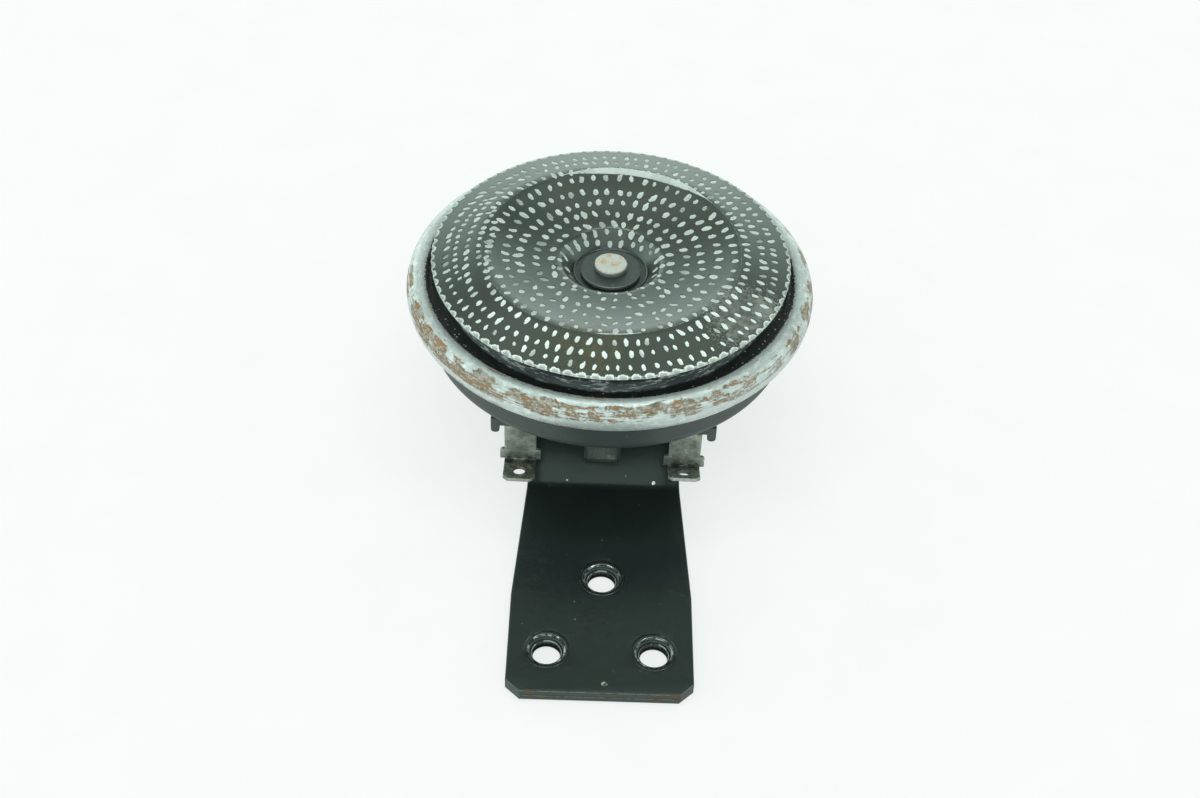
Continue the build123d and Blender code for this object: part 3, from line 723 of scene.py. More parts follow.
spring_bronze, shader, place = finish("spring_bronze", Metallic=0.9)
drawn = place.vector("MULTIPLY", (0.1, 1.0, 1.0)).noise(2600.0, 3.0, 0.6)
tone = drawn.mix((0.5, 0.28, 0.13), (0.7, 0.45, 0.23))
coat(shader, tone, 0.28 + drawn * 0.2, drawn, 0.00001)

tinned_brass, shader, place = finish("dull_tinned_brass", Metallic=0.5)
blotch = place.noise(330.0, 5.0, 0.7)
grime = place.noise(1700.0, 4.0, 0.75).between(0.52, 0.68)
bend_dirt = place.part(2).rise(11.6, 9.9) * place.part(2).rise(8.9, 9.4)
bend_dirt = bend_dirt * place.noise(900.0, 4.0, 0.7).between(0.38, 0.56)
notches = marks(
    place, (-19.1, 24.0, 9.3, 1.0, 0.6, 1.0), (-14.8, 24.0, 9.3, 1.1, 0.6, 1.0),
    (14.2, 23.6, 9.3, 1.0, 0.6, 1.0), (17.4, 23.6, 9.3, 0.9, 0.6, 1.0),
).least(1.0)
blade_dirt = place.part(1).rise(24.2, 22.5) * place.noise(1300.0, 4.0, 0.75).between(0.44, 0.6)
chips = dots(place, 950.0, 0.22, 0.12, 1, 0.60, 0.68)
# Edge faces at the blade's tip are painted pale: a painted highlight.
tip_highlight = place.part(1).rise(18.9, 18.4) * abs(facing(place)).between(0.85, 0.6)
tone = layered(
    blotch.between(0.32, 0.68).mix((0.15, 0.172, 0.148), (0.34, 0.372, 0.32)),
    (grime, 0.6, (0.075, 0.085, 0.066)),
    (blade_dirt, 0.6, (0.075, 0.085, 0.065)),
    (bend_dirt, 0.7, (0.06, 0.062, 0.045)),
    (notches, 0.7, (0.02, 0.022, 0.017)),
    (tip_highlight, 0.4, (0.6, 0.64, 0.6)),
    (chips, 0.8, (0.66, 0.71, 0.66)),
)
coat(shader, tone, 0.46 + grime * 0.25, blotch + grime * 0.8, 0.00004)

contact_metal, shader, place = finish("contact_metal", Metallic=1.0)
lapped = place.noise(2200.0, 3.0, 0.6)
tone = lapped.mix((0.5, 0.51, 0.52), (0.66, 0.66, 0.67))
coat(shader, tone, 0.25 + lapped * 0.15, lapped, 0.00001)

for node in ("insulator_lower", "insulator_upper"):
    carry_over(node, phenolic_board, bevel=0.1)
carry_over("fixed_arm", tinned_brass, bevel=0.1)
carry_over("fixed_contact", contact_metal, bevel=0.15)
carry_over("breaker_rivet", zinc_steel)
carry_over("adjusting_screw", tinned_brass, bevel=0.12)

spring_clamp_x = 17.0
spring_cut = 0.5
spring_leaf = merged("contact_spring")
cut_across(spring_leaf, 0, [spring_clamp_x - spring_cut * i for i in range(15, -1, -1)])
leaf_piece = place_piece(
    "contact_spring_leaf", spring_leaf, spring_bronze, None, "contact_spring"
)
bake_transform(leaf_piece)
button = merged("moving_contact", 0.15)
button_piece = place_piece(
    "moving_contact_button", button, contact_metal, None, "moving_contact"
)
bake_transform(button_piece)


# ---- Terminal block ------------------------------------------------------------------
# Dark glass-filled bar under the shoulder, with a finger at each end, a key in the
# middle and two bosses. Two steel rivets hold it.
carry_over("terminal_block", black_plastic, bevel=0.18)
carry_over("block_rivets", zinc_steel)


# ---- Spade terminals -----------------------------------------------------------------
# Tinned brass strip 6.3 by 0.8 mm, blanked with two ears and a holed blade, bent
# down from its rivet and forward again. Dull and dirty, with bright chips, and a painted
# highlight on the edge faces at the blade's tip.
strip_thickness = 0.8
strip_edge = 0.14
bend_radius = 0.9
strip_half = 3.15
ear_reach = 0.9
ear_height = 2.6
ear_round = 0.6
blade_length = 6.4
blade_chamfer = 0.9
blade_hole_radius = 1.2
blade_hole_inset = 2.7
rivet_bore_radius = 1.3
left_lift = 8.0
right_lift = 23.0
terminal_x = 16.3
face_y = -28.6
blade_z = 9.0
tail_z = 18.1
tail_length = 4.9
rivet_y = -25.2
strip_step = 0.2


def rounded(corners, radii, steps=8):
    """Points along a line through the corners, with an arc of its own radius at each inner one."""
    line = [Vector(corners[0])]
    for before, here, after, radius in zip(corners, corners[1:], corners[2:], radii):
        here = Vector(here)
        one = (Vector(before) - here).normalized()
        two = (Vector(after) - here).normalized()
        half = one.angle(two) / 2
        if radius < 1e-6 or half > math.pi / 2 - 1e-4:
            line.append(here)
            continue
        reach = radius / math.tan(half)
        centre = here + (one + two).normalized() * radius / math.sin(half)
        start = here + one * reach - centre
        stop = here + two * reach - centre
        sweep = start.angle(stop)
        for i in range(steps + 1):
            share = i / steps
            spoke = start * math.sin((1 - share) * sweep) + stop * math.sin(share * sweep)
            line.append(centre + spoke / math.sin(sweep))
    line.append(Vector(corners[-1]))
    return line


class Path:
    """A bent strip's middle line in the Y-Z plane, measured along its length."""

    def __init__(self, line):
        self.line = line
        self.marks = [0.0]
        for one, two in zip(line, line[1:]):
            self.marks.append(self.marks[-1] + (two - one).length)

    def at(self, along):
        """Point and upward normal at a distance along the line."""
        last = len(self.line) - 2
        i = max(0, min(last, sum(mark <= along for mark in self.marks) - 1))
        step = (self.line[i + 1] - self.line[i]).normalized()
        point = self.line[i] + step * (along - self.marks[i])
        return point, Vector((-step.y, step.x))


def spade_terminal(name, x, lift, node):
    """Blank cut flat, then bent along its path: y and z from the horn's own axis."""
    upright_y = face_y + strip_thickness / 2
    tail_y = upright_y + tail_length
    reach = blade_length + strip_thickness / 2
    slope = math.radians(lift)
    tip = (upright_y - reach * math.cos(slope), blade_z + reach * math.sin(slope))
    bends = [tip, (upright_y, blade_z), (upright_y, tail_z), (tail_y, tail_z)]
    path = Path(rounded(bends, (bend_radius, bend_radius)))
    length = path.marks[-1]
    foot = next(i for i, point in enumerate(path.line) if abs(point.x - upright_y) < 1e-3)
    foot_along, foot_z = path.marks[foot], path.line[foot].y
    ear_low = foot_along + blade_z + strip_thickness / 2 - foot_z
    outer = strip_half + ear_reach
    half = [
        (strip_half - blade_chamfer, 0.0),
        (strip_half, blade_chamfer),
        (strip_half, ear_low),
        (outer, ear_low),
    ]
    for i in range(7):
        turn = math.pi / 2 * i / 6
        half.append((
            outer - ear_round * (1 - math.cos(turn)),
            ear_low + ear_height - ear_round * (1 - math.sin(turn)),
        ))
    half += [(strip_half, ear_low + ear_height), (strip_half, length)]
    outline = half + [(-a, b) for a, b in reversed(half)]
    bore_along = length - (tail_y - rivet_y)
    blade_hole = circle(0, blade_hole_inset, blade_hole_radius, 40)
    rivet_hole = circle(0, bore_along, rivet_bore_radius, 32)
    strip = flat_sheet(name, [outline, blade_hole, rivet_hole], strip_thickness, strip_edge)
    cut_across(strip, 1, [strip_step * i for i in range(1, int(length / strip_step))])
    turn = Matrix.Translation((0, horn_axis_y, 0)) @ Matrix.Rotation(horn_turn, 4, "Z")
    for point in strip.verts:
        middle, normal = path.at(point.co.y)
        lifted = middle + normal * point.co.z
        if abs(point.co.x) > strip_half + 1e-3:
            lifted = Vector((upright_y - point.co.z, foot_z + point.co.y - foot_along))
        point.co = turn @ Vector((x + point.co.x, lifted.x, lifted.y))
    return place_piece(name, strip, tinned_brass, "horn", node, sharp=40)


spade_terminal("left_spade", -terminal_x, left_lift, "terminal_left")
spade_terminal("right_spade", terminal_x, right_lift, "terminal_right")
carry_over("terminal_rivets", tinned_brass)


# ---- Leads and resistor --------------------------------------------------------------
# Copper leads from the coil and the breaker to the terminal rivets, and a small
# ceramic resistor across the rivets that damps the spark.
ceramic, shader, place = finish("ceramic_body")
glaze = place.noise(900.0, 4.0, 0.6)
tone = glaze.mix((0.55, 0.5, 0.42), (0.7, 0.66, 0.58))
coat(shader, tone, 0.5 + glaze * 0.25, glaze, 0.00003)
for node in ("coil_lead_start", "coil_lead_end", "breaker_lead", "resistor_wires"):
    carry_over(node, enamelled_wire)
carry_over("resistor", ceramic)


# ---- Gaskets and diaphragm -----------------------------------------------------------
# Spring-steel diaphragm between two black sealing rings. Its step shows under the
# disc's edge: glossy dark paint with fine turned streaks, ragged towards the ring.
sealing_rubber, shader, place = finish("sealing_rubber")
grain = place.noise(1800.0, 3.0, 0.7)
radius, flat = from_axis(place, 0.0, horn_axis_y)
bead = dots(place, 1500.0, 0.32, 0.2, 0, 0.5, 0.56) * radius.rise(35.9, 36.4)
crumbs = dots(place, 900.0, 0.2, 0.1, 0, 0.8, 0.86)
rusty = place.cells(1500.0, 1).part(1).between(0.62, 0.7)
tone = layered(
    grain.mix((0.006, 0.0065, 0.006), (0.018, 0.019, 0.018)),
    (crumbs, 0.5, (0.22, 0.2, 0.17)),
    (bead, 0.85, rusty.mix((0.72, 0.74, 0.7), (0.36, 0.17, 0.08))),
)
coat(shader, tone, 0.42 + grain * 0.3, grain + bead, 0.0001)
for node in ("gasket_lower", "gasket_upper"):
    carry_over(node, sealing_rubber)


def around(place):
    """Round coordinates about the horn's axis: radius, unit direction and height."""
    radius, flat = from_axis(place, 0.0, horn_axis_y)
    return radius, flat.vector("NORMALIZE"), place.part(2)


def streaks(radius, way, height, length, width, detail=3.0):
    """Noise drawn out round the axis: length and width of a streak in mm, at 40 mm radius."""
    round_scale = 40.0 / length
    across = (radius + height * 1.7) * (1 / (width * MM))
    drawn_out = (way.part(0) * round_scale).joined(way.part(1) * round_scale, across)
    return drawn_out.noise(1.0, detail, 0.6)


diaphragm_paint, shader, place = finish("diaphragm_paint", IOR=1.6, Specular_Tint=dark_tint)
radius, way, height = around(place)
fine = streaks(radius, way, height, 3.0, 0.14, 4.0)
broad = streaks(radius, way, height, 8.0, 0.5)
scratches = fine.between(0.5, 0.62) * broad.between(0.42, 0.56)
rim = radius.rise(32.75, 33.15)
beads = dots(place, 1500.0, 0.34, 0.24, 0, 0.5, 0.56) * radius.rise(34.2, 34.9)
specks = dots(place, 1100.0, 0.22, 0.13, 0, 0.90, 0.93).most(beads)
rusty = place.cells(1100.0, 1).part(1).between(0.78, 0.84)
tone = layered(
    broad.mix((0.030, 0.038, 0.042), (0.075, 0.088, 0.094)),
    (scratches, 0.85, (0.78, 0.83, 0.83)),
    (rim, 0.94, (0.005, 0.006, 0.006)),
    (rim * specks, 1.0, rusty.mix((0.74, 0.76, 0.72), (0.36, 0.16, 0.07))),
)
skin = fine * 0.7 + broad * 0.5 + rim * place.noise(1500.0) * 3
coat(shader, tone, 0.26 + scratches * 0.25 + rim * 0.3, skin, 0.00006)

rim_top = 33.0
crown_top = 34.5
diaphragm_sheet = 0.4


def face_line(line, offset):
    """The line moved sideways by an offset, up being positive."""
    moved = []
    for i, point in enumerate(line):
        step = (line[min(i + 1, len(line) - 1)] - line[max(i - 1, 0)]).normalized()
        moved.append(point + Vector((-step.y, step.x)) * offset)
    return moved


def sheet_section(line, thickness, edge=0.0):
    """Closed section of a sheet whose middle line is given, its ends rounded by edge."""
    faces = []
    for side in (1, -1):
        face = face_line(line, side * thickness / 2)
        if edge:
            narrow = face_line(line, side * (thickness / 2 - edge))
            start = face[0] + (line[1] - line[0]).normalized() * edge
            end = face[-1] + (line[-2] - line[-1]).normalized() * edge
            face = [narrow[0], start, *face[1:-1], end, narrow[-1]]
        faces.append(face)
    return [(p.x, p.y) for p in faces[0] + faces[1][::-1]]


stem_hole = 2.65
rim_middle = rim_top - diaphragm_sheet / 2
crown_middle = crown_top - diaphragm_sheet / 2
diaphragm_line = rounded(
    [
        (38.9, rim_middle), (33.0, rim_middle), (31.4, crown_middle), (20.0, crown_middle),
        (stem_hole, crown_middle),
    ],
    (0.6, 0.6, 0.0),
)
diaphragm = spun(sheet_section(diaphragm_line, diaphragm_sheet), steps=288)
diaphragm_piece = place_piece(
    "diaphragm_sheet", diaphragm, diaphragm_paint, None, "diaphragm"
)
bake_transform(diaphragm_piece)


# ---- Crimp ring ----------------------------------------------------------------------
# Zinc-plated steel ring, rolled over the flange, the gaskets and the diaphragm.
# The plating is worn and water-marked, and rust runs round it in streaks.
ring_sheet = 1.0
roll_half_width = 2.15
roll_half_height = 2.9
roll_x = 38.35
roll_z = 32.45
lip_angle = 130
foot_radius = 37.2
ring_edge = 0.22
lip_radius = 36.8
lip_reach = 1.2
lip_low = 34.0
ragged_lip = 0.2


def ring_wobble(angle):
    """Slight unevenness of the rolled lip round the ring."""
    waves = ((0.4, 5, 1), (0.25, 11, 0), (0.15, 23, 2), (0.15, 61, 0), (0.15, 89, 1))
    return sum(size * math.sin(count * angle + start) for size, count, start in waves)


turns = [math.radians(-90 + i * (lip_angle + 90) / 44) for i in range(45)]
roll = [
    Vector((roll_x + roll_half_width * math.cos(a), roll_z + roll_half_height * math.sin(a)))
    for a in turns
]
ring_line = [Vector((foot_radius, roll[0].y)), Vector((roll_x - 0.3, roll[0].y))] + roll


def lip_row(radius_mm, height_mm):
    """A row of the ring, uneven where it is near the edge of the rolled lip."""
    inner = max(0.0, 1 - abs(radius_mm - lip_radius) / lip_reach) * (height_mm > lip_low)
    return lambda angle: (radius_mm + ragged_lip * inner * ring_wobble(angle), height_mm)


ring_rows = [lip_row(*point) for point in sheet_section(ring_line, ring_sheet, ring_edge)]
zinc_ring, shader, place = finish("worn_zinc_ring")
radius, way, height = around(place)


def toward(way, x, y, low, high):
    """1 on the side of the horn that this direction points to, 0 away from it."""
    return way.vector("DOT_PRODUCT", (x, y, 0.0), output=1).between(low, high)


veil = streaks(radius, way, height, 12.0, 1.4, 5.0)
fine = streaks(radius, way, height, 2.0, 0.28, 5.0)
mottle = place.noise(650.0, 5.0, 0.7)
grain = place.noise(2100.0, 4.0, 0.75)
exposed = 0.08
for x, y, low, high, weight in (
    (-0.5, -0.87, 0.55, 0.95, 1.0), (0.1, -1.0, 0.8, 0.98, 0.7),
    (-0.97, -0.22, 0.93, 0.99, 0.75), (0.98, -0.1, 0.86, 0.98, 0.85),
    (0.78, -0.62, 0.86, 0.98, 0.6), (0.8, 0.6, 0.9, 0.99, 0.45),
):
    exposed = toward(way, x, y, low, high) * weight + exposed
exposed = exposed.least(1.0)
shoulder = height.rise(32.0, 33.3) * height.rise(35.9, 35.3)
foot_line = height.rise(31.5, 30.9) * 0.45
inner_flat = radius.rise(38.3, 37.9) * radius.rise(37.2, 37.5)
inner_flat = inner_flat * toward(way, -0.35, -0.94, 0.90, 0.98)
shoulder = shoulder.most(inner_flat * 0.7 + foot_line)
islands = place.noise(170.0, 3.0, 0.6).between(0.40, 0.60)
bed = streaks(radius, way, height, 6.0, 0.42, 6.0) * 0.75 + mottle * 0.12 + grain * 0.13
weight = exposed * (0.2 + shoulder * 0.8) * (0.3 + 0.7 * islands)
bed = bed + (weight - 0.5) * 0.32
rust = bed.between(0.47, 0.56) * (0.35 + exposed * 0.65)
rust = rust * (0.6 + 0.4 * grain.between(0.40, 0.52)) * radius.rise(37.1, 37.5)
flecks = streaks(radius, way, height, 2.2, 0.3, 4.0) * 0.6 + grain * 0.4
rust_core = rust * bed.between(0.505, 0.545) * flecks.between(0.475, 0.545)
soot = streaks(radius, way, height, 3.5, 0.35, 5.0) * 0.6 + mottle * 0.4
soot = rust * soot.between(0.52, 0.60)
lip_paint = (radius + (place.noise(1700.0, 4.0, 0.7) - 0.5) * (1.6 * MM)).rise(37.2, 37.1)
wear = fine.between(0.5, 0.64) * mottle.between(0.35, 0.6)
zinc = layered(
    veil.mix((0.385, 0.45, 0.44), (0.62, 0.695, 0.67)),
    (mottle.between(0.46, 0.66), 0.6, (0.78, 0.845, 0.80)),
    (wear, 0.5, (0.20, 0.235, 0.225)),
    (grain.between(0.58, 0.7), 0.35, (0.17, 0.19, 0.175)),
    (rust, 0.7, (0.22, 0.18, 0.115)),
    (soot, 0.7, (0.075, 0.055, 0.032)),
    (rust_core, 0.85, (0.30, 0.155, 0.04)),
    (lip_paint, 1.0, (0.006, 0.007, 0.007)),
)
(0.5 * (1.0 - rust * 0.9) * (1.0 - lip_paint)).into(shader, "Metallic")
skin = fine * 0.6 + mottle * 0.7 + grain * 0.3 - rust_core * 0.9
coat(shader, zinc, 0.3 + mottle * 0.16 + rust * 0.35, skin, 0.0001)
crimp_ring = spun(ring_rows, steps=384)
place_piece(
    "rolled_crimp_ring", crimp_ring, zinc_ring, "horn", "crimp_ring", sharp=45
)


# ---- Armature, washers and peened head -----------------------------------------------
# Turned iron plunger; its stem comes through diaphragm and disc, and its end is
# peened over the front washer. The struck head is pale, pitted and rust-spotted.
head_metal, shader, place = finish("peened_head_metal", Metallic=0.35)
pits = place.noise(1700.0, 5.0, 0.7)
patch = place.noise(520.0, 3.0, 0.6, 0.4)
spots = marks(
    place, (-1.5, 53.3, 37.5, 0.9, 1.3, 1.0), (0.8, 52.6, 37.5, 0.9, 1.4, 1.0),
    (2.1, 54.6, 37.5, 0.35, 0.6, 1.0), (-0.4, 55.2, 37.5, 0.5, 1.4, 1.0),
).least(1.0)
tone = layered(
    pits.mix((0.36, 0.38, 0.33), (0.76, 0.78, 0.72)),
    (patch.between(0.55, 0.65) * pits.between(0.55, 0.62), 0.5, (0.3, 0.2, 0.1)),
    (place.part(2).rise(37.35, 36.9), 0.7, (0.12, 0.14, 0.13)),
    (spots * pits.between(0.4, 0.56), 0.8, (0.56, 0.33, 0.11)),
)
coat(shader, tone, 0.5 + pits * 0.3, pits, 0.00012)

dark_washer, shader, place = finish("blackened_washer_steel", Metallic=0.55)
radius, way, height = around(place)
turned_marks = streaks(radius, way, height, 3.0, 0.15, 3.0)
film = place.noise(500.0, 4.0, 0.65)
# The washer's outer rim is painted lighter: a painted highlight along its edge.
tone = layered(
    film.mix((0.045, 0.062, 0.058), (0.095, 0.12, 0.112)),
    (turned_marks.between(0.55, 0.7), 0.25, (0.22, 0.26, 0.245)),
    (radius.rise(5.85, 6.0), 0.5, (0.4, 0.45, 0.43)),
)
coat(shader, tone, 0.28 + film * 0.2, film + turned_marks * 0.5, 0.00003)

armature_box = [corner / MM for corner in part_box("armature")]
washer_box = [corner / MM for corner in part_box("front_washer")]
plunger_radius = 7.8
plunger_chamfer = 0.5
turned_edge = 0.15
pusher_radius = (armature_box[1].x - armature_box[0].x) / 2
pusher_low = 30.5
pusher_high = 33.3
stem_radius = 2.6
head_radius = 3.27
head_round = 0.4
head_low = washer_box[1].z
head_top = armature_box[1].z
foot = armature_box[0].z


def struck(radius_mm, height_mm, amount):
    """A row of the head, a little out of round from the peening."""

    def at(angle):
        uneven = math.sin(3 * angle + 0.6) * 0.5 + math.sin(7 * angle + 2) * 0.3
        uneven += math.sin(12 * angle) * 0.2
        drop = abs(amount) * 0.6 * (1 + math.sin(5 * angle)) * 0.5
        return radius_mm + amount * uneven, height_mm - drop

    return at


head_edge = [
    struck(
        head_radius - head_round * (1 - math.cos(a)),
        head_top - head_round + head_round * math.sin(a), 0.06,
    )
    for a in [math.pi / 2 * i / 8 for i in range(9)]
]
head_face = [
    struck(head_radius * share, head_top - 0.05 + 0.03 * share, 0.03 * share)
    for share in (0.7, 0.5, 0.3, 0.15)
]
armature_rows = [
    (pole, foot), (plunger_radius - plunger_chamfer, foot),
    (plunger_radius, foot + plunger_chamfer), (plunger_radius, pusher_low),
    (pusher_radius - turned_edge, pusher_low), (pusher_radius, pusher_low + turned_edge),
    (pusher_radius, pusher_high - turned_edge), (pusher_radius - turned_edge, pusher_high),
    (stem_radius, pusher_high), (stem_radius, head_low),
    (head_radius - turned_edge, head_low), (head_radius, head_low + 0.25),
    *head_edge, *head_face, (pole, head_top - 0.06),
]
armature = spun(armature_rows, steps=96, closed=False)
place_piece(
    "armature_and_head", armature, head_metal, "vibrator", "armature", sharp=35
)

washer_radius = 6.045
washer_sheet = 0.998
washer_edge = 0.2
washer_middle = (washer_box[0].z + washer_box[1].z) / 2
washer_line = [Vector((stem_hole, washer_middle)), Vector((washer_radius, washer_middle))]
front_washer = spun(sheet_section(washer_line, washer_sheet, washer_edge), steps=128)
place_piece(
    "front_washer_finished", front_washer, dark_washer, "vibrator",
    "front_washer", sharp=30,
)
carry_over("back_washer", zinc_steel, "vibrator")


# ---- Tone disc -----------------------------------------------------------------------
# Spun steel disc with a well, a shallow bowl and a raised crest, in thin dark paint.
# A pointed tool has dented it in rows that wander and scalloped its edge, and each
# dent is bare and bright; on the near side beyond the crest that bare metal is painted
# near white, a painted highlight. The crest is rubbed bare along a thin line, and the
# wide bare band at the back is a painted highlight. The well's bottom is painted near
# black, a painted shade.
disc_sheet = 0.6
disc_seat = 34.8
disc_radius = 35.8
crest_radius = 25.9
disc_corners = [
    (stem_hole, 0.0), (7.5, 0.0), (10.4, 3.4), (18.3, 4.09),
    (crest_radius, 6.5), (disc_radius, 4.3),
]
disc_radii = (0.9, 1.9, 58.0, 6.0)
disc_line = rounded([(r, disc_seat + h) for r, h in disc_corners], disc_radii, steps=10)
dent_step = 0.3
fine_turns = 704


def even(line, step):
    """The same line with points no further apart than step."""
    points = [line[0]]
    for one, two in zip(line, line[1:]):
        count = max(1, math.ceil((two - one).length / step))
        points += [one.lerp(two, i / count) for i in range(1, count + 1)]
    return points


top_face = even(face_line(disc_line, disc_sheet / 2), dent_step)
under_face = face_line(disc_line, -disc_sheet / 2)
rim_edge = 0.08
top_face[-1] = top_face[-1] - Vector((rim_edge, 0))
edge_rows = [
    top_face[-1] + Vector((rim_edge * 1.3, -rim_edge)), under_face[-1] + Vector((-0.05, rim_edge)),
]


def turns_at(point):
    """Points round the top face: half as many inside 17 mm, and half again inside 8 mm."""
    return fine_turns // (1 if point.x > 17.0 else 2 if point.x > 8.0 else 4)


def stitched(shape, one, two):
    """Faces between two rings of points, where one ring may have twice as many as the other."""
    dense, sparse = (one, two) if len(one) > len(two) else (two, one)
    double = len(dense) > len(sparse)
    for i in range(len(sparse)):
        here, after = sparse[i], sparse[(i + 1) % len(sparse)]
        if double:
            left, middle, right = dense[2 * i], dense[2 * i + 1], dense[(2 * i + 2) % len(dense)]
            for corners in ((here, left, middle), (here, middle, after), (after, middle, right)):
                shape.faces.new(corners)
        else:
            shape.faces.new((here, after, dense[(i + 1) % len(dense)], dense[i]))


disc_rows = [(p, turns_at(p)) for p in top_face] + [(edge_rows[0], fine_turns // 2)]
disc_rows += [(p, fine_turns // 4) for p in edge_rows[1:] + under_face[::-1]]
disc_shape = bmesh.new()
disc_rings = []
for point, count in disc_rows:
    angles = [math.tau * i / count for i in range(count)]
    disc_rings.append([
        disc_shape.verts.new(
            (point.x * math.cos(a) * MM, (horn_axis_y + point.x * math.sin(a)) * MM, point.y * MM)
        )
        for a in angles
    ])
for one, two in zip(disc_rings, disc_rings[1:] + disc_rings[:1]):
    stitched(disc_shape, one, two)
disc_mesh = bpy.data.meshes.new("plain_disc")
bmesh.ops.recalc_face_normals(disc_shape, faces=disc_shape.faces)
disc_shape.to_mesh(disc_mesh)
disc_shape.free()
disc_blank = in_scene("plain_disc", disc_mesh)


def new_tree(name, inputs):
    """A Geometry Nodes tree with named inputs (name, socket type, value) and one geometry out."""
    tree = bpy.data.node_groups.new(name, "GeometryNodeTree")
    for label, kind, value in inputs:
        socket = tree.interface.new_socket(label, in_out="INPUT", socket_type=kind)
        if value is not None:
            socket.default_value = value
    tree.interface.new_socket("Geometry", in_out="OUTPUT", socket_type="NodeSocketGeometry")
    source = tree.nodes.new("NodeGroupInput")
    return tree, {label: Value(tree, source.outputs[label]) for label, kind, value in inputs}


def stored_on(geometry, label, value):
    """The geometry with a number stored at each of its points."""
    settings = {"data_type": "FLOAT", "domain": "POINT"}
    sockets = {"Geometry": geometry, "Name": label, "Value": value}
    return geometry.node("GeometryNodeStoreNamedAttribute", settings, sockets)


def dent_row_tree():
    """One row of dents as points, each with its half sizes, its turn and its lot."""
    number, whole = "NodeSocketFloat", "NodeSocketInt"
    tree, given = new_tree("dent_row", [
        ("Radius", number, 0.03), ("Count", whole, 80), ("Start", number, 0.0),
        ("Span", number, math.tau), ("Wander", number, 0.0), ("Half Length", number, 0.0008),
        ("Half Width", number, 0.0005), ("Scatter", number, 0.0002), ("Seed", whole, 1),
    ])
    any_value = given["Radius"]
    index = any_value.node("GeometryNodeInputIndex")

    def lot(low, high, salt):
        sockets = {2: low, 3: high, 7: index, 8: given["Seed"] + salt}
        return any_value.node("FunctionNodeRandomValue", {"data_type": "FLOAT"}, sockets, 1)

    share = (index + lot(-0.16, 0.16, 1)) / given["Count"]
    angle = given["Start"] + share * given["Span"]
    bay = (angle - math.radians(176)) / math.radians(27)
    swell = (bay * bay * -1.0).own("EXPONENT")
    wide_bay = (angle - math.radians(165)) / math.radians(45)
    lean = (wide_bay * wide_bay * -1.0).own("EXPONENT") * 0.95
    drift = angle.own("SINE") * (-0.75 * MM)
    slow = (angle * 3 + given["Seed"]).own("SINE") * (0.22 * MM)
    front = (angle.own("SINE") * -1.0).most(0.0) * given["Radius"].rise(24.0, 20.0)
    radius = given["Radius"] + drift + slow - given["Wander"] * swell
    radius = radius + (given["Scatter"] + front * (0.45 * MM)) * lot(-1.0, 1.0, 2)
    x = angle.own("COSINE") * radius
    y = angle.own("SINE") * radius + horn_axis_y * MM
    spot = x.joined(y, 0.0)
    points = any_value.node("GeometryNodePoints", None, {"Count": given["Count"], "Position": spot})
    size = lot(0.78, 1.18, 3) * (1.0 - front * 0.22)
    for label, value in (
        ("half_length", given["Half Length"] * size * lot(0.8, 1.2, 4)),
        ("half_width", given["Half Width"] * size),
        ("turn", angle + lean + (0.42 + front * 0.9) * lot(-1.0, 1.0, 5)),
        ("lot", lot(0.0, 1.0, 6)),
    ):
        points = stored_on(points, label, value)
    out = tree.nodes.new("NodeGroupOutput")
    tree.links.new(points.socket, out.inputs[0])
    return tree


# Radius, count, wander, half length and half width of each full row, in millimetres,
# then of the short rows that fill the bay on the left, with start and span in degrees.
full_rows = [
    (32.9, 90, 0.3, 0.80, 0.42), (30.1, 86, 1.3, 0.85, 0.45), (27.2, 80, 3.0, 0.88, 0.47),
    (24.4, 58, 2.9, 0.90, 0.52), (21.2, 52, 2.4, 0.92, 0.56), (18.2, 46, 1.8, 0.95, 0.56),
    (15.0, 40, 1.0, 0.95, 0.56), (12.1, 27, 0.5, 1.0, 0.60), (10.3, 24, 0.0, 0.62, 0.58),
    (9.1, 22, 0.0, 0.50, 0.58),
]
bay_rows = [(30.8, 15, 0.0, 150, 52, 0.60, 0.42), (26.6, 10, 0.0, 156, 42, 0.62, 0.46)]
edge_count = 88
edge_half_length = 0.78
edge_half_width = 1.08
dent_depth = 0.13
first_seed = 11
seed_step = 10
row_tree = dent_row_tree()
tree, given = new_tree("dented_disc", [
    ("Geometry", "NodeSocketGeometry", None), ("Dent Depth", "NodeSocketFloat", dent_depth * MM),
    ("Finish", "NodeSocketMaterial", None),
])
whole_disc = given["Geometry"]
rows = []
for radius_mm, count, wander, half_length, half_width in full_rows:
    start = (first_seed + seed_step * len(rows)) * 0.7 % math.tau
    rows.append((radius_mm, count, wander, start, math.tau, half_length, half_width, 0.16))
for radius_mm, count, wander, start, span, half_length, half_width in bay_rows:
    start, span = math.radians(start), math.radians(span)
    rows.append((radius_mm, count, wander, start, span, half_length, half_width, 0.12))
join = tree.nodes.new("GeometryNodeJoinGeometry")
for i, (radius_mm, count, wander, start, span, half_length, half_width, scatter) in enumerate(rows):
    row = tree.nodes.new("GeometryNodeGroup")
    row.node_tree = row_tree
    for label, value in (
        ("Radius", radius_mm * MM), ("Count", count), ("Start", start), ("Span", span),
        ("Wander", wander * MM), ("Half Length", half_length * MM), ("Half Width", half_width * MM),
        ("Scatter", scatter * MM), ("Seed", first_seed + seed_step * i),
    ):
        row.inputs[label].default_value = value
    tree.links.new(row.outputs[0], join.inputs[0])
dents = Value(tree, join.outputs[0])

here = whole_disc.node("GeometryNodeInputPosition")
flat_here = here.vector("MULTIPLY", (1.0, 1.0, 0.0))
sockets = {"Geometry": dents, "Sample Position": flat_here}
nearest = whole_disc.node("GeometryNodeSampleNearest", {"domain": "POINT"}, sockets)


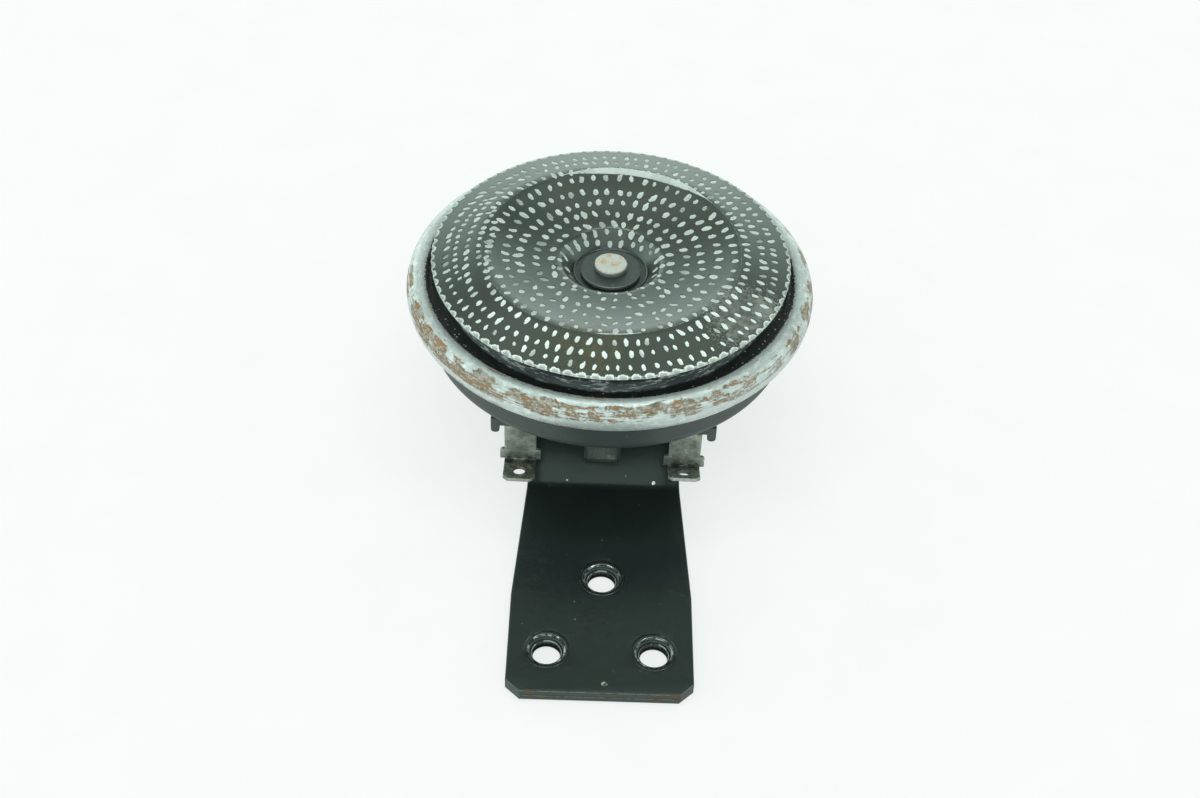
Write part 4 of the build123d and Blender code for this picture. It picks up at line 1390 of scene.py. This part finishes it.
def at_nearest(value, kind="FLOAT"):
    """What the nearest dent has of a value."""
    sockets = {"Geometry": dents, "Value": value, "Index": nearest}
    settings = {"data_type": kind, "domain": "POINT"}
    return whole_disc.node("GeometryNodeSampleIndex", settings, sockets)


def of_dent(label):
    """A stored number of the nearest dent."""
    settings = {"data_type": "FLOAT"}
    return at_nearest(whole_disc.node("GeometryNodeInputNamedAttribute", settings, {"Name": label}))


away = flat_here.vector("SUBTRACT", at_nearest(here, "FLOAT_VECTOR"))
turn = of_dent("turn")
cosine, sine = turn.own("COSINE"), turn.own("SINE")
along = (away.part(0) * cosine + away.part(1) * sine) / of_dent("half_length")
across = (away.part(1) * cosine - away.part(0) * sine) / of_dent("half_width")
reach = (along * along + across * across).own("SQRT")

rim_radius, out_here = from_axis(here, 0.0, horn_axis_y)
rim_turn = out_here.maths("ARCTAN2", out_here.part(1), out_here.part(0)) * (edge_count / math.tau)
rim_cell = (rim_turn + 0.5 + edge_count).own("FRACT") - 0.5
edge_across = rim_cell * (math.tau / edge_count * disc_radius / edge_half_width)
edge_along = (rim_radius - disc_radius * MM) / (edge_half_length * MM)
edge_reach = (edge_across * edge_across + edge_along * edge_along).own("SQRT")
nearer = reach.least(edge_reach)

normal = whole_disc.node("GeometryNodeInputNormal")
faces_up = normal.maths("GREATER_THAN", normal.part(2), 0.15)
bowl = (1 - nearer * nearer).most(0.0) * faces_up
lip = nearer.between(1.55, 1.1) * nearer.between(0.85, 1.1) * faces_up
sink = bowl * given["Dent Depth"] * -1.0 + lip * given["Dent Depth"] * 0.12
offset = normal.vector("SCALE")
tree.links.new(sink.socket, offset.socket.node.inputs["Scale"])
body = whole_disc.node("GeometryNodeSetPosition", None, {"Geometry": whole_disc, "Offset": offset})
for label, value in (("dent", nearer), ("dent_lot", of_dent("lot")), ("edge_dent", edge_reach)):
    body = stored_on(body, label, value)
body = whole_disc.node("GeometryNodeRealizeInstances", None, {"Geometry": body})
sockets = {"Geometry": body, "Material": given["Finish"]}
body = whole_disc.node("GeometryNodeSetMaterial", None, sockets)
out = tree.nodes.new("NodeGroupOutput")
tree.links.new(body.socket, out.inputs[0])

disc_paint, shader, place = finish("worn_disc_paint", IOR=1.75, Specular_Tint=dark_tint)
radius, way, height = around(place)


def stored(place, name):
    """A number that the mesh carries at each point."""
    return place.node("ShaderNodeAttribute", {"attribute_name": name}, None, 2)


dent = stored(place, "dent")
lot = stored(place, "dent_lot")
fray = (place.noise(1150.0, 2.0, 0.5) - 0.5) * 0.9 + (place.noise(2900.0, 3.0, 0.6) - 0.5) * 0.5
frayed = dent + fray
bare = frayed.between(0.98, 0.84)
outline = frayed.between(1.3, 1.08) * frayed.between(0.9, 1.04)
uneven = place.noise(430.0, 3.0, 0.6).between(0.35, 0.65)
edge_worn = radius.rise(35.55, 35.72)
edge_moon = (stored(place, "edge_dent") + fray * 0.7 + uneven * 0.25).between(1.1, 0.9)
edge_shade = (stored(place, "edge_dent") + fray * 0.8).between(0.85, 0.45)
cloud = place.noise(70.0, 4.0, 0.6)
fine = place.noise(1900.0, 4.0, 0.7)
turned_marks = streaks(radius, way, height, 4.0, 0.3, 3.0)
oily = mark(place, -3.5, 25.0, 39.6, 6.5, 0.9) * place.noise(420.0, 4.0, 0.6).between(0.38, 0.62)
dusty = place.noise(1300.0, 5.0, 0.75).between(0.6, 0.76) * cloud.between(0.48, 0.68) * 0.4
for x, y, z, size, ragged, scale, roughness, low, high, least, weight in (
    (26.3, 34.5, 39.8, 7.5, 1.3, 700.0, 0.62, 0.40, 0.70, 0.25, 0.75),
    (30.5, 37.0, 39.8, 3.0, 1.3, 900.0, 0.72, 0.40, 0.60, 0.0, 0.7),
    (23.5, 71.0, 40.0, 6.0, 1.2, 620.0, 0.72, 0.55, 0.72, 0.0, 0.5),
):
    film = place.noise(scale, 5.0, roughness).between(low, high) * weight + least
    dusty = mark(place, x, y, z, size, ragged) * film + dusty
dusty = dusty.least(1.0)
# Bare crest: a thin rubbed line all round, widened at the back into a band that is a painted
# highlight made as bare metal, with frayed ends.
off_crest = abs(radius - crest_radius * MM)
rub_and_highlight_width = toward(way, 0.22, 0.975, 0.80, 0.985) * (0.95 * MM)
highlight_fray = toward(way, 0.22, 0.975, 0.72, 0.86) * place.noise(900.0).between(0.3, 0.5)
rub_and_highlight_width = rub_and_highlight_width + highlight_fray * (0.16 * MM)
rub_and_highlight_width = rub_and_highlight_width + toward(way, 0.06, -0.998, 0.982, 0.996) * (0.16 * MM)
crest_wear_and_highlight = (off_crest + (place.noise(2000.0) - 0.5) * (0.25 * MM) - rub_and_highlight_width).rise(0.05, -0.1)
# The bottom of the well is painted near black: painted shade round the washer.
well_shade = radius.rise(8.4, 7.3)
near = toward(way, 0.1, -0.99, 0.1, 0.8)
warm = toward(way, 0.35, 0.94, 0.2, 0.9) * radius.rise(27.0, 22.0) * 0.8
warm = warm + near * radius.rise(24.0, 27.0)
paint = layered(
    cloud.mix((0.026, 0.036, 0.031), (0.044, 0.056, 0.048)),
    (turned_marks.between(0.6, 0.75), 0.15, (0.10, 0.12, 0.11)),
    (warm, 0.7, (0.046, 0.047, 0.030)),
    (oily, 0.9, (0.058, 0.044, 0.012)),
    (dusty, 0.5, (0.34, 0.36, 0.32)),
    (well_shade, 0.85, (0.006, 0.008, 0.008)),
    (outline, 0.4, (0.010, 0.012, 0.010)),
)
# On the near side beyond the crest the bare metal is painted near white: a painted highlight.
bright = layered(
    (lot * 0.55 + fine * 0.45).mix((0.40, 0.45, 0.42), (0.68, 0.74, 0.70)),
    (dent.between(0.7, 0.35) * fine.between(0.4, 0.6), 0.4, (0.30, 0.34, 0.315)),
    (near * radius.rise(25.5, 27.0), 0.8, (0.86, 0.93, 0.88)),
    (edge_shade * edge_moon, 0.6, (0.20, 0.225, 0.20)),
)
bare = (bare * (0.55 + 0.45 * lot.between(0.03, 0.2))).most(edge_worn * uneven * 0.85)
bare = bare.most(edge_moon * 0.9).most(crest_wear_and_highlight)
(bare * 0.4).into(shader, "Metallic")
rough = 0.16 + cloud * 0.08 + dusty * 0.3 + bare * 0.3 + oily * 0.1 - well_shade * 0.04
skin = place.noise(900.0, 2.0) * 0.3 + turned_marks * 0.3 + fine * dusty - bare * 0.8
coat(shader, bare.mix(paint, bright), rough, skin, 0.00004)

modifier = disc_blank.modifiers.new("dents", "NODES")
modifier.node_group = tree
settings = {"Finish": disc_paint, "Dent Depth": dent_depth * MM}
for item in tree.interface.items_tree:
    if item.name in settings:
        modifier[item.identifier] = settings[item.name]
dented = plain_mesh(disc_blank)
dented.name = "dented_tone_disc"
settle("dented_tone_disc", dented, "vibrator", "tone_disc", sharp=50)
